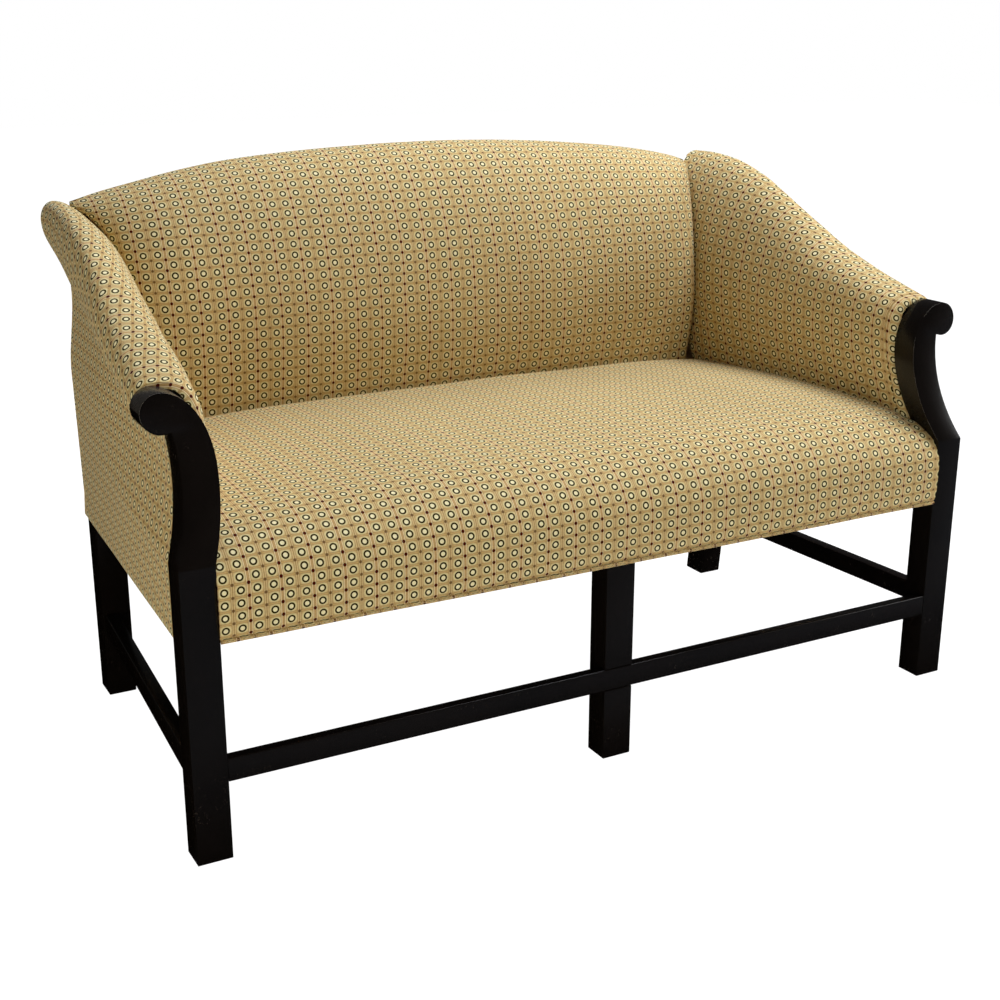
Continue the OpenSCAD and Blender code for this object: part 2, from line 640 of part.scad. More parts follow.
// Back pad: a belly, a backward roll up to the arched crest, and a lip over the crest rail
tuck_depth = 120;
back_base = 434;
crest_y = belly_depth + back_lean;
round_height = crest_height - belly_height;
lean_start = 650;
back_columns = 24;
function front_path(z) = z < belly_height
    ? belly_depth + back_tuck * share(belly_height - z, 0, tuck_depth) ^ 2
    : belly_depth + back_lean * (1 - sqrt(1 - ((z - belly_height) / round_height) ^ 2));
low_rows = [0, 0.2, 0.38, 0.55, 0.72, 0.86];
arc_rows = 10;
arc_end = 84;
function arc_y(t) = belly_depth + back_lean * (1 - cos(arc_end * t));
lip_y = rear_back(crest_height - crest_cover) + outside_back_thick;
// Points of the path in Y and Z, the share of the crest drop there, and the end rounding
function back_path() = concat(
    [for (t = low_rows) let (z = mix(back_base, belly_height, t))
        [front_path(z), z, 0, mix(8, 16, t)]],
    [for (t = steps(arc_rows)) let (a = arc_end * t, z = belly_height + round_height * sin(a))
        [arc_y(t), z,
            share(z, lean_start, crest_height), mix(16, end_round, sin(min(150 * t, 135)))]],
    [[crest_y - 4, crest_height, 1, 12], [crest_y + 6, crest_height - 3, 1, 3],
        [lip_y - 1, crest_height - 12, 1, 0],
        [lip_y, crest_height - crest_cover + 3, 1, 0]]);
round_reach = 115;
end_line = crest_end - 8;
crease_spread = 3;
// Where a row of the back pad meets the arm, found from the arm's own section
function arm_share(y, z) = (y - post_rear(z)) / (rear_back(z) - post_rear(z));
function dome_x(y, z) = let (t = clamp(arm_share(y, z), 0, 1), cz = round_base(t),
    half = ridge_x(t) - arm_face(y, cz), rise = clamp((z - cz) / (arm_top(t) - cz), 0, 0.985))
    ridge_x(t) - half * sqrt(1 - rise ^ 2);
function row_end(p) = min(crest_end - 1, dome_x(min(p[0] + p[3], rear_back(p[1])),
    p[1] - p[2] * (crest_height - crest_line(end_line))) - side_gap * (1 + crease_spread * p[2]));
function back_point(p, u) = let (half = row_end(p), x = u * half,
    s = share(abs(x), half - round_reach, half),
    z = p[1] - p[2] * (crest_height - crest_line(x)))
    [x, min(p[0] + p[3] * (1 - sqrt(1 - s ^ 2)), rear_back(z) + outside_back_thick, lip_y), z];
back_gap = back_rail_thick + web_thick + 1;
over_z = crest_height - 30;
over_y = front_path(over_z);
function back_under(p, u) = let (half = row_end(p), x = u * half,
    z = p[1] - p[2] * (crest_height - crest_line(x)),
    under = crest_line(x) - crest_cover + 2 * soft_gap)
    p[0] < over_y ? [x, rear_back(min(z, under)) - back_gap, min(z, under)]
        : [x, mix(rear_back(under) - back_gap, min(rear_back(under) + outside_back_thick,
            lip_y), share(p[0], arc_y(0.8), lip_y)), under];
column_steps = [for (j = steps(back_columns)) let (v = 2 * j - 1) sign(v) * abs(v) ^ 0.75];
module back_pad() color(fabric) placed()
    padding([for (p = back_path()) [for (u = column_steps) back_point(p, u)]],
        [for (p = back_path()) [for (u = column_steps) back_under(p, u)]]);

// Outside back: one raked panel with the outline of both arms and of the crest
function half_outline() = concat(
    [for (t = steps(8)) let (z = mix(rail_base, rear_neck[1], t)) [rear_edge(z), z]],
    turned([for (p = arm_ring(1)) if (p[0] > crest_end + 2 && p[1] > rear_neck[1]) p]),
    [for (t = steps(12)) let (x = mix(crest_end, 0, t)) [x, crest_line(x) - crest_cover]]);
function flipped(list) = [for (i = [len(list) - 2 : -1 : 0]) [-list[i][0], list[i][1]]];
module outside_back() color(fabric) placed() intersection() {
    front_view(concat(half_outline(), flipped(half_outline())));
    side_view([[rear_back(rail_base), rail_base], [rear_back(rail_base)
        + outside_back_thick, rail_base], [rear_back(knee_height) + outside_back_thick,
        knee_height], [rear_back(crest_height) + outside_back_thick, crest_height],
        [rear_back(crest_height), crest_height], [rear_back(knee_height), knee_height]],
        -reach, reach);
}

front_left_post();
front_right_post();
front_middle_leg();
rear_left_post();
rear_right_post();
front_stretcher();
left_side_stretcher();
right_side_stretcher();
foot_glides();
front_seat_rail();
rear_seat_rail();
left_seat_rail();
right_seat_rail();
seat_cross_rail();
corner_blocks();
seat_webbing();
seat_deck();
dust_cover();
seat_pad();
front_welt();
left_welt();
right_welt();
lower_back_rail();
crest_rail();
left_back_stile();
right_back_stile();
middle_back_stile();
back_webbing();
back_pad();
outside_back();
left_arm_rail();
right_arm_rail();
left_tack_rail();
right_tack_rail();
left_arm_pad();
right_arm_pad();
left_outside_arm();
right_outside_arm();
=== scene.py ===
"""Looks of the loveseat: an ebonised show-wood frame and tight upholstery in a woven ring cloth."""
import math
import bmesh
import bpy
import numpy as np
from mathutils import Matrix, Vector


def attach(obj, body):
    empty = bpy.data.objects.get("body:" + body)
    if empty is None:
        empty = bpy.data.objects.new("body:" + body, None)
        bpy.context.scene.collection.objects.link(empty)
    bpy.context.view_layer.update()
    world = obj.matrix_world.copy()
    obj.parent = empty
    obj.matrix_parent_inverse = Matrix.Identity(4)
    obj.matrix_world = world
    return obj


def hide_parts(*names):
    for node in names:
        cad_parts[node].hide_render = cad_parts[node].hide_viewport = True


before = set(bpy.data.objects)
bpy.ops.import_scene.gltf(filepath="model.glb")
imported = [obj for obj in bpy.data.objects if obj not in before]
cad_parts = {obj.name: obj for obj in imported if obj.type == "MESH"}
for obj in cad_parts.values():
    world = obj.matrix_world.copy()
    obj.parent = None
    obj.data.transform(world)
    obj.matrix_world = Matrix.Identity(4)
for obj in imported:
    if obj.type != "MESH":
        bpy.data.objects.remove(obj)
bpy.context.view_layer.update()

# Shapes are worked out in millimetres from the front faces of the front legs,
# and placed in metres in the frame of the CAD model.
MM = 0.001
FRONT_Y = -0.3663


def mix(a, b, t):
    return a + (b - a) * t


def share(value, low, high):
    return np.clip((value - low) / (high - low), 0.0, 1.0)


def ease(t):
    return t * t * (3 - 2 * t)


def smooth_line(*knots):
    """Curve through (place, value) knots that doesn't overshoot between them."""
    at, value = np.array(knots, float).T
    run = np.diff(at)
    slope = np.diff(value) / run
    lean = np.zeros(len(at))
    lean[0], lean[-1] = slope[0], slope[-1]
    for i in range(1, len(at) - 1):
        if slope[i - 1] * slope[i] > 0:
            near, far = 2 * run[i] + run[i - 1], run[i] + 2 * run[i - 1]
            lean[i] = (near + far) / (near / slope[i - 1] + far / slope[i])

    def read(v):
        v = np.clip(v, at[0], at[-1])
        k = np.clip(np.searchsorted(at, v, side="right") - 1, 0, len(at) - 2)
        t = (v - at[k]) / run[k]
        return ((2 * t ** 3 - 3 * t ** 2 + 1) * value[k]
                + (t ** 3 - 2 * t ** 2 + t) * run[k] * lean[k]
                + (3 * t ** 2 - 2 * t ** 3) * value[k + 1]
                + (t ** 3 - t ** 2) * run[k] * lean[k + 1])
    return read


def placed(points):
    """Points in millimetres, put where the CAD frame has them, in metres."""
    out = np.asarray(points, float) * MM
    out[..., 1] += FRONT_Y
    return out


# Sizes of the frame that the upholstery meets, as part.scad has them
HALF_FRONT = 677.0  # outer face of a front leg, from the middle
POST_INNER = 627.0  # inner face of a front leg, from the middle
LEG_DEPTH = 45.0
ELBOW = 430.0  # height at which a front post starts to sweep back
POST_SWEEP, SWEEP_RISE = 63.0, 243.1
POST_BOW, BOW_Z = 25.0, 548.0
SCROLL_Z = 624.0  # middle of the scroll
RAIL_BASE = 321.0
SEAT_FRONT, SEAT_REAR = 1206.0, 1080.0  # clear widths between the arms
ARM_FRONT_Y, ARM_REAR_Y = 95.0, 540.0  # depths at which those widths are reached
CREST = 895.0
KNEE = 360.0
KNEE_BACK = 617.37  # rear face of a rear post at its knee
RAKE = math.tan(math.radians(12.5))
KICK = math.tan(math.radians(5.1))
OUTSIDE_BACK = 7.0  # thickness of the outside back
PANEL_FOOT = 650.0  # outside of an arm at its rear foot, from the middle
SOFT_GAP = 0.4  # clearance between padding and wood
SIDE_NAME = {-1: "left", 1: "right"}


def post_front(z):
    z = np.asarray(z, float)
    return np.where(z <= ELBOW, 0.0, POST_SWEEP * (1 - (1 - (z - ELBOW) / SWEEP_RISE) ** 2))


def post_rear(z):
    return LEG_DEPTH + post_front(z)


def bow(z):
    return POST_BOW * (1 - ((z - BOW_Z) / (BOW_Z - ELBOW)) ** 2)


def post_edge(z):
    z = np.asarray(z, float)
    return np.where(z <= ELBOW, HALF_FRONT, HALF_FRONT - bow(z))


def post_face(z):
    z = np.asarray(z, float)
    return np.where(z <= ELBOW, POST_INNER, POST_INNER - bow(np.minimum(z, BOW_Z)))


def rear_back(z):
    z = np.asarray(z, float)
    return KNEE_BACK + np.where(z > KNEE, RAKE * (z - KNEE), KICK * (KNEE - z))


def arm_face(y, z):
    """How far from the middle the inner face of an arm stands."""
    straight = mix(SEAT_FRONT, SEAT_REAR, share(y, ARM_FRONT_Y, ARM_REAR_Y)) / 2
    return straight + (post_face(z) - SEAT_FRONT / 2) * (1 - share(y, LEG_DEPTH, ARM_FRONT_Y)) ** 2


def waver(x, y, seed, size):
    """Slow unevenness of hand-laid padding, between about -1 and 1."""
    rng = np.random.default_rng(seed)
    total = np.zeros(np.broadcast(x, y).shape)
    for _ in range(9):
        turn, phase = rng.uniform(0, math.tau, 2)
        pitch = size * rng.uniform(0.7, 2.2)
        total += np.sin((x * math.cos(turn) + y * math.sin(turn)) * math.tau / pitch + phase)
    return total / 4


def along(points, axis):
    """Running length of a grid's lines along one axis."""
    step = np.linalg.norm(np.diff(points, axis=axis), axis=2)
    start = np.zeros_like(np.take(step, [0], axis=axis))
    return np.concatenate([start, np.cumsum(step, axis=axis)], axis=axis)


def run_of(path):
    """Running length at each point of a path."""
    return np.concatenate([[0], np.cumsum(np.linalg.norm(np.diff(path, axis=0), axis=1))])


def evenly(path, s, run):
    """Columns of a path read at the running lengths s."""
    return np.stack([np.interp(s, run, column) for column in path.T], axis=1)


def signed_power(v, power):
    """Crowds evenly spaced values between -1 and 1 towards their ends."""
    return np.sign(v) * np.abs(v) ** power


def only_material(obj, material):
    obj.data.materials.clear()
    obj.data.materials.append(material)


def new_object(name, data):
    obj = bpy.data.objects.new(name, data)
    bpy.context.scene.collection.objects.link(obj)
    return obj


def stands_for(obj, node):
    """Attaches a piece to the root body and hides the CAD node it stands in for."""
    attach(obj, "root")
    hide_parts(node)


def baked(obj, modifier, name):
    """Turns what a modifier makes into the object's own mesh."""
    depsgraph = bpy.context.evaluated_depsgraph_get()
    finished = bpy.data.meshes.new_from_object(obj.evaluated_get(depsgraph))
    obj.modifiers.remove(modifier)
    obj.data = finished
    finished.name = name
    return finished


def crease(mesh, angle):
    """Turns a mesh's faces outwards and marks edges that turn by more than an angle as sharp."""
    work = bmesh.new()
    work.from_mesh(mesh)
    if work.calc_volume(signed=True) < 0:
        bmesh.ops.reverse_faces(work, faces=work.faces[:])
    for edge in work.edges:
        if len(edge.link_faces) == 2 and edge.calc_face_angle(0) > angle:
            edge.smooth = False
    work.to_mesh(mesh)
    work.free()


def cover(name, outer, inner, cloth):
    """Closed padding between two grids of points; cloth holds the weave's own coordinates."""
    rows, columns = outer.shape[:2]
    count = rows * columns
    index = np.arange(count).reshape(rows, columns)

    def quads(a, b, c, d):
        return np.stack([a.ravel(), b.ravel(), c.ravel(), d.ravel()], axis=1)
    top = quads(index[:-1, :-1], index[:-1, 1:], index[1:, 1:], index[1:, :-1])
    under = quads(index[:-1, :-1], index[1:, :-1], index[1:, 1:], index[:-1, 1:]) + count
    rim = np.concatenate([
        quads(index[0, :-1], index[0, :-1] + count, index[0, 1:] + count, index[0, 1:]),
        quads(index[-1, :-1], index[-1, 1:], index[-1, 1:] + count, index[-1, :-1] + count),
        quads(index[:-1, 0], index[1:, 0], index[1:, 0] + count, index[:-1, 0] + count),
        quads(index[:-1, -1], index[:-1, -1] + count, index[1:, -1] + count, index[1:, -1])])
    faces = np.concatenate([top, under, rim])
    points = np.concatenate([placed(outer).reshape(-1, 3), placed(inner).reshape(-1, 3)])
    mesh = bpy.data.meshes.new(name)
    mesh.from_pydata(points.tolist(), [], faces.tolist())
    mesh.shade_smooth()
    # The weave runs on over the rims, so the under side starts that much further out
    thick = np.linalg.norm(outer - inner, axis=2)[..., None]
    turned_in = cloth.astype(float)
    for rim_line, next_line in ((np.s_[0], np.s_[1]), (np.s_[-1], np.s_[-2]),
                                (np.s_[:, 0], np.s_[:, 1]), (np.s_[:, -1], np.s_[:, -2])):
        step = cloth[rim_line] - cloth[next_line]
        length = np.linalg.norm(step, axis=1)[:, None] + 1e-9
        turned_in[rim_line] += thick[rim_line] * step / length
    flat_cloth = np.concatenate([cloth.reshape(-1, 2), turned_in.reshape(-1, 2)]) * MM
    layer = mesh.uv_layers.new(name="cloth")
    layer.data.foreach_set("uv", flat_cloth[faces.ravel()].astype(np.float32).ravel())
    crease(mesh, 1.0)
    mesh.materials.append(CLOTH)
    return new_object(name, mesh)


# Node trees

class Wires:
    """Adds nodes to a tree and joins them."""

    def __init__(self, tree):
        self.tree = tree

    def node(self, kind, inputs=(), **settings):
        made = self.tree.nodes.new(kind)
        for key, value in settings.items():
            setattr(made, key, value)
        for key, value in dict(inputs).items():
            self.join(value, made.inputs[key])
        return made

    def join(self, value, socket):
        if isinstance(value, bpy.types.NodeSocket):
            self.tree.links.new(value, socket)
        elif value is not None:
            socket.default_value = value

    def math(self, operation, *values, clamp=False):
        made = self.node("ShaderNodeMath", enumerate(values), operation=operation, use_clamp=clamp)
        return made.outputs[0]

    def band(self, value, low, high):
        """0 below low and 1 above high, with a soft step between."""
        made = self.node("ShaderNodeMapRange", {
            "Value": value, "From Min": low, "From Max": high}, interpolation_type="SMOOTHSTEP")
        return made.outputs["Result"]

    def line(self, value, half, soft):
        """1 where a value is within half of 0."""
        low, high = self.math("SUBTRACT", half, soft), self.math("ADD", half, soft)
        return self.math("SUBTRACT", 1.0, self.band(self.math("ABSOLUTE", value), low, high))

    def blend(self, factor, a, b):
        made = self.node("ShaderNodeMix", {"Factor": factor, "A": a, "B": b}, data_type="RGBA")
        return next(s for s in made.outputs if s.type == "RGBA")

    def noise(self, vector, scale, detail=2.0, roughness=0.5):
        made = self.node("ShaderNodeTexNoise", {
            "Vector": vector, "Scale": scale, "Detail": detail, "Roughness": roughness})
        return made.outputs["Fac"]

    def split(self, vector):
        return self.node("ShaderNodeSeparateXYZ", {"Vector": vector}).outputs

    def bump(self, shader, height, strength, distance):
        made = self.node("ShaderNodeBump", {
            "Height": height, "Strength": strength, "Distance": distance})
        self.join(made.outputs["Normal"], shader.inputs["Normal"])


def blank_tree(owner):
    """The emptied node tree of a material or a world."""
    owner.use_nodes = True
    owner.node_tree.nodes.clear()
    return Wires(owner.node_tree)


def paint(red, green, blue):
    """Colour as seen, 0 to 255, turned into Blender's linear colour."""
    def linear(v):
        v /= 255
        return v / 12.92 if v <= 0.04045 else ((v + 0.055) / 1.055) ** 2.4
    return (linear(red), linear(green), linear(blue), 1.0)


def node_group(name, inputs, outputs, kind_of_tree="ShaderNodeTree"):
    """An empty node group with named sockets, and the nodes that carry them."""
    tree = bpy.data.node_groups.new(name, kind_of_tree)
    for socket, kind, value in inputs:
        made = tree.interface.new_socket(name=socket, in_out="INPUT", socket_type=kind)
        if value is not None:
            made.default_value = value
    for socket, kind in outputs:
        tree.interface.new_socket(name=socket, in_out="OUTPUT", socket_type=kind)
    wires = Wires(tree)
    return wires, wires.node("NodeGroupInput").outputs, wires.node("NodeGroupOutput").inputs


FLOAT, COLOR, VECTOR = "NodeSocketFloat", "NodeSocketColor", "NodeSocketVector"
GEOMETRY = "NodeSocketGeometry"

# Repeat of the cloth's pattern across and along, in millimetres
COLUMN, ROW = 22.75, 17.95


def ring_weave_group():
    """Rings on pale tiles, with stripes and spots between the columns and dotted rows."""
    wires, given, made = node_group("ring_weave", [
        ("Cloth", VECTOR, None),
        ("Column Pitch", FLOAT, COLUMN * MM), ("Row Pitch", FLOAT, ROW * MM),
        ("Ring Radius", FLOAT, 0.0044), ("Ring Yarn", FLOAT, 0.00125),
        ("Ground", COLOR, paint(189, 158, 103)), ("Tile", COLOR, paint(211, 198, 148)),
        ("Heart", COLOR, paint(230, 221, 178)), ("Ring", COLOR, paint(44, 33, 0)),
        ("Pink", COLOR, paint(206, 150, 112)), ("Red", COLOR, paint(66, 10, 5)),
        ("Brown", COLOR, paint(78, 42, 16)), ("Cream", COLOR, paint(240, 230, 192))],
        [("Color", COLOR), ("Height", FLOAT), ("Yarn", FLOAT)])
    m, line, band = wires.math, wires.line, wires.band
    split = wires.split(given["Cloth"])
    column = m("DIVIDE", split["X"], given["Column Pitch"])
    row = m("DIVIDE", split["Y"], given["Row Pitch"])

    def from_middle(repeat, pitch):
        """Distance in metres from the middle of each repeat."""
        return m("MULTIPLY", m("SUBTRACT", m("FRACT", repeat), 0.5), given[pitch])

    def both(x, y):
        return m("SQRT", m("ADD", m("POWER", x, 2.0), m("POWER", y, 2.0)))

    # Distances from the nearest ring, and from the middles of the gaps
    half_on = m("ADD", column, 0.5)
    ring_x, ring_y = from_middle(column, "Column Pitch"), from_middle(row, "Row Pitch")
    gap_x = from_middle(half_on, "Column Pitch")
    gap_y = from_middle(m("ADD", row, 0.5), "Row Pitch")
    odd = m("GREATER_THAN", m("FRACT", m("MULTIPLY", half_on, 0.5)), 0.5)
    away = both(ring_x, ring_y)
    # Pale tile with round corners under each ring
    squared = m("ADD", m("POWER", m("ABSOLUTE", m("DIVIDE", ring_x, 0.0080)), 2.6),
                m("POWER", m("ABSOLUTE", m("DIVIDE", ring_y, 0.0073)), 2.6))
    tile = m("SUBTRACT", 1.0, band(squared, 0.45, 1.5))
    blush = m("MULTIPLY", line(gap_x, 0.0028, 0.0008), m("MULTIPLY", odd, 0.15))
    color = wires.blend(blush, given["Ground"], given["Pink"])
    color = wires.blend(tile, color, given["Tile"])
    # Fine dotted lines along the rows, and pairs of pale stripes down the column gaps
    dots = band(m("SINE", m("MULTIPLY", split["X"], math.tau / 0.0017)), -0.1, 0.6)
    dotted = m("MULTIPLY", line(m("SUBTRACT", m("ABSOLUTE", gap_y), 0.0014), 0.0005, 0.0003), dots)
    color = wires.blend(m("MULTIPLY", dotted, 0.6), color, given["Brown"])
    spread = m("MULTIPLY_ADD", odd, 0.0009, 0.0015)
    aside = m("SUBTRACT", m("ABSOLUTE", gap_x), spread)
    stripe = m("MULTIPLY", line(aside, 0.0005, 0.0003), m("MULTIPLY_ADD", odd, 0.3, 0.3))
    color = wires.blend(stripe, color, given["Cream"])
    beside = m("ADD", line(m("ADD", aside, 0.0013), 0.0004, 0.0003),
               line(m("SUBTRACT", aside, 0.0012), 0.0004, 0.0003))
    color = wires.blend(m("MULTIPLY", beside, 0.26), color, given["Brown"])
    # Spots where the gaps cross, red in every other one
    spot = both(gap_x, gap_y)
    red_spot = m("MULTIPLY", m("SUBTRACT", 1.0, band(spot, 0.0021, 0.0030)), odd)
    brown_spot = m("MULTIPLY", m("SUBTRACT", 1.0, band(spot, 0.0016, 0.0028)),
                   m("SUBTRACT", 1.0, odd))
    color = wires.blend(red_spot, color, given["Red"])
    color = wires.blend(m("MULTIPLY", brown_spot, 0.8), color, given["Brown"])
    # The ring itself, round a pale heart
    radius = given["Ring Radius"]
    heart = m("SUBTRACT", 1.0, band(away, m("SUBTRACT", radius, 0.0009), radius))
    color = wires.blend(heart, color, given["Heart"])
    ring = line(m("SUBTRACT", away, radius), given["Ring Yarn"], 0.00035)
    color = wires.blend(ring, color, given["Ring"])
    # Yarns of warp and weft
    warp = m("SINE", m("MULTIPLY", split["X"], math.tau / 0.00085))
    weft = m("SINE", m("MULTIPLY", split["Y"], math.tau / 0.0006))
    yarn = m("MULTIPLY", m("ADD", warp, weft), 0.5)
    fibre = m("MULTIPLY_ADD", wires.noise(given["Cloth"], 330.0, 2.0, 0.6), 0.7,
              m("MULTIPLY", wires.noise(given["Cloth"], 1400.0, 3.0, 0.7), 0.6))
    height = m("ADD", m("MULTIPLY", yarn, 0.00005), m("MULTIPLY", ring, 0.00022))
    height = m("ADD", height, m("MULTIPLY", m("MAXIMUM", red_spot, tile), 0.00010))
    wires.join(color, made["Color"])
    wires.join(height, made["Height"])
    wires.join(m("ADD", m("MULTIPLY", yarn, 0.5), m("SUBTRACT", fibre, 0.65)), made["Yarn"])
    return wires.tree


def soiling_group():
    """Slow fading and soiling of cloth, as a brightness about 1."""
    wires, given, made = node_group("soft_fading", [
        ("Place", VECTOR, None), ("Patch Size", FLOAT, 0.25), ("Depth", FLOAT, 0.08)],
        [("Brightness", FLOAT)])
    m = wires.math
    scale = m("DIVIDE", 1.0, given["Patch Size"])
    cloud = wires.noise(given["Place"], scale, 3.0, 0.55)
    fine = wires.noise(given["Place"], m("MULTIPLY", scale, 9.0), 2.0, 0.6)
    both = m("ADD", m("MULTIPLY", cloud, 0.75), m("MULTIPLY", fine, 0.25))
    value = m("MULTIPLY_ADD", m("SUBTRACT", both, 0.5), given["Depth"], 1.0)
    wires.join(value, made["Brightness"])
    return wires.tree


def grain_group():
    """Long open grain of hardwood that runs along one way."""
    wires, given, made = node_group("wood_grain", [
        ("Place", VECTOR, None), ("Pore Size", FLOAT, 0.0012),
        ("Stretch", VECTOR, (1.0, 1.0, 0.04))],
        [("Grain", FLOAT), ("Cloud", FLOAT)])
    drawn = wires.node("ShaderNodeVectorMath", {0: given["Place"], 1: given["Stretch"]},
                       operation="MULTIPLY").outputs[0]
    scale = wires.math("DIVIDE", 1.0, given["Pore Size"])
    wires.join(wires.noise(drawn, scale, 4.0, 0.65), made["Grain"])
    wires.join(wires.noise(given["Place"], 9.0, 3.0, 0.6), made["Cloud"])
    return wires.tree


def scuff_group():
    """Small scuffs and rubbed spots, thicker near the floor."""
    wires, given, made = node_group("scuffs", [
        ("Place", VECTOR, None), ("Amount", FLOAT, 0.5)], [("Scuff", FLOAT)])
    m, band = wires.math, wires.band
    low = m("SUBTRACT", 1.0, band(wires.split(given["Place"])["Z"], 0.0, 0.22))
    speck = wires.noise(given["Place"], 160.0, 3.0, 0.75)
    patch = wires.noise(given["Place"], 14.0, 2.0, 0.5)
    mask = m("MULTIPLY", band(speck, 0.60, 0.72), band(patch, 0.48, 0.62))
    mask = m("MULTIPLY", mask, m("MULTIPLY_ADD", low, 0.8, 0.2))
    wires.join(m("MULTIPLY", mask, given["Amount"], clamp=True), made["Scuff"])
    return wires.tree


GROUPS = {"ring_weave": ring_weave_group(), "soft_fading": soiling_group(),
          "wood_grain": grain_group(), "scuffs": scuff_group()}


def new_material(name, **constants):
    """A material with its Object coordinates, and what is the same all over it."""
    material = bpy.data.materials.new(name)
    wires = blank_tree(material)
    shader = wires.node("ShaderNodeBsdfPrincipled")
    wires.node("ShaderNodeOutputMaterial", {"Surface": shader.outputs["BSDF"]})
    for key, value in constants.items():
        shader.inputs[key.replace("_", " ")].default_value = value
    place = wires.node("ShaderNodeTexCoord").outputs["Object"]
    return material, wires, shader, place


def group_node(wires, name, **inputs):
    made = wires.node("ShaderNodeGroup", node_tree=GROUPS[name])
    for key, value in inputs.items():
        wires.join(value, made.inputs[key.replace("_", " ")])
    return made.outputs


def ring_cloth():
    material, wires, shader, place = new_material(
        "ring_cloth", Roughness=0.6, Specular_IOR_Level=0.08, Specular_Tint=(1.0, 0.78, 0.42, 1),
        Sheen_Weight=0.10, Sheen_Roughness=0.35)
    # The columns wander by a millimetre or two, as stretched cloth does
    laid = wires.node("ShaderNodeUVMap", uv_map="cloth").outputs["UV"]
    drift = wires.node("ShaderNodeTexNoise", {"Vector": place, "Scale": 8.0, "Detail": 1.0})
    shift = wires.node("ShaderNodeVectorMath", {
        0: drift.outputs["Color"], 1: (0.004, 0.004, 0), 2: laid}, operation="MULTIPLY_ADD")
    cloth = wires.node("ShaderNodeVectorMath", {
        0: shift.outputs[0], 1: (0.002, 0.002, 0)}, operation="SUBTRACT").outputs[0]
    weave = group_node(wires, "ring_weave", Cloth=cloth)
    fading = group_node(wires, "soft_fading", Place=place)
    tone = wires.math("MULTIPLY", fading["Brightness"],
                      wires.math("MULTIPLY_ADD", weave["Yarn"], 0.66, 1.15))
    lit = wires.node("ShaderNodeHueSaturation", {"Color": weave["Color"], "Value": tone})
    wires.join(lit.outputs["Color"], shader.inputs["Base Color"])
    wires.bump(shader, weave["Height"], 0.7, 1.0)
    return material


def black_lacquer():
    material, wires, shader, place = new_material("black_lacquer", Specular_IOR_Level=0.25)
    grain = group_node(wires, "wood_grain", Place=place)
    scuff = group_node(wires, "scuffs", Place=place, Amount=0.55)["Scuff"]
    base = wires.blend(grain["Cloud"], (0.0022, 0.0018, 0.0016, 1), (0.0075, 0.0050, 0.0040, 1))
    base = wires.blend(scuff, base, (0.07, 0.05, 0.035, 1))
    # Painted highlight: faces marked in this attribute get a pale grey in place of a lit reflection
    # on the arris
    painted_highlight = wires.node("ShaderNodeAttribute", attribute_name="painted_highlight").outputs["Fac"]
    base = wires.blend(painted_highlight, base, (0.40, 0.37, 0.34, 1))
    wires.join(base, shader.inputs["Base Color"])
    rough = wires.math("MULTIPLY_ADD", grain["Cloud"], 0.14, 0.16)
    rough = wires.math("ADD", rough, wires.math("MULTIPLY", scuff, 0.3))
    wires.join(rough, shader.inputs["Roughness"])
    wires.bump(shader, grain["Grain"], 0.12, 0.0004)
    return material


def plain_hardwood():
    material, wires, shader, place = new_material("plain_hardwood", Roughness=0.7)
    grain = group_node(wires, "wood_grain", Place=place, Stretch=(0.05, 1.0, 1.0),
                       Pore_Size=0.004)["Grain"]
    wires.join(wires.blend(grain, paint(176, 138, 92), paint(214, 184, 138)),
               shader.inputs["Base Color"])
    return material


def jute_cloth():
    material, wires, shader, place = new_material("jute_cloth", Roughness=0.9)
    m, split = wires.math, wires.split(place)
    rib = math.tau / 0.0022
    warp = m("SINE", m("MULTIPLY", split["X"], rib))
    weft = m("SINE", m("MULTIPLY", m("ADD", split["Y"], split["Z"]), rib))
    yarn = m("MULTIPLY_ADD", m("MULTIPLY", warp, weft), 0.5, 0.5)
    wires.join(wires.blend(yarn, paint(128, 102, 66), paint(176, 150, 108)),
               shader.inputs["Base Color"])
    wires.bump(shader, yarn, 0.5, 0.0004)
    return material


def black_cambric():
    material, wires, shader, place = new_material("black_cambric", Roughness=0.85)
    fleck = wires.noise(place, 900.0, 3.0, 0.7)
    fold = wires.noise(place, 5.0, 2.0, 0.5)
    m = wires.math
    tone = m("ADD", m("MULTIPLY", fleck, 0.6), m("MULTIPLY", fold, 0.4))
    wires.join(wires.blend(tone, (0.008, 0.008, 0.009, 1), (0.035, 0.035, 0.037, 1)),
               shader.inputs["Base Color"])
    wires.bump(shader, tone, 0.4, 0.0006)
    return material


def plain_steel():
    material, wires, shader, place = new_material("plain_steel", Metallic=1.0)
    wear = wires.noise(place, 220.0, 3.0, 0.6)
    wires.join(wires.blend(wear, (0.30, 0.30, 0.31, 1), (0.52, 0.52, 0.53, 1)),
               shader.inputs["Base Color"])
    wires.join(wires.math("MULTIPLY_ADD", wear, 0.3, 0.25), shader.inputs["Roughness"])
    return material


CLOTH = ring_cloth()
LACQUER = black_lacquer()
HARDWOOD = plain_hardwood()
JUTE = jute_cloth()
CAMBRIC = black_cambric()
STEEL = plain_steel()


# Show wood: copies of the CAD solids with eased arrises

def merged(node):
    """A copy of a CAD node's solids, with their flat faces whole again."""
    work = bmesh.new()
    work.from_mesh(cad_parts[node].data)
    bmesh.ops.remove_doubles(work, verts=work.verts[:], dist=0.00002)
    bmesh.ops.dissolve_limit(work, angle_limit=math.radians(1.0),
                             verts=work.verts[:], edges=work.edges[:])
    return work


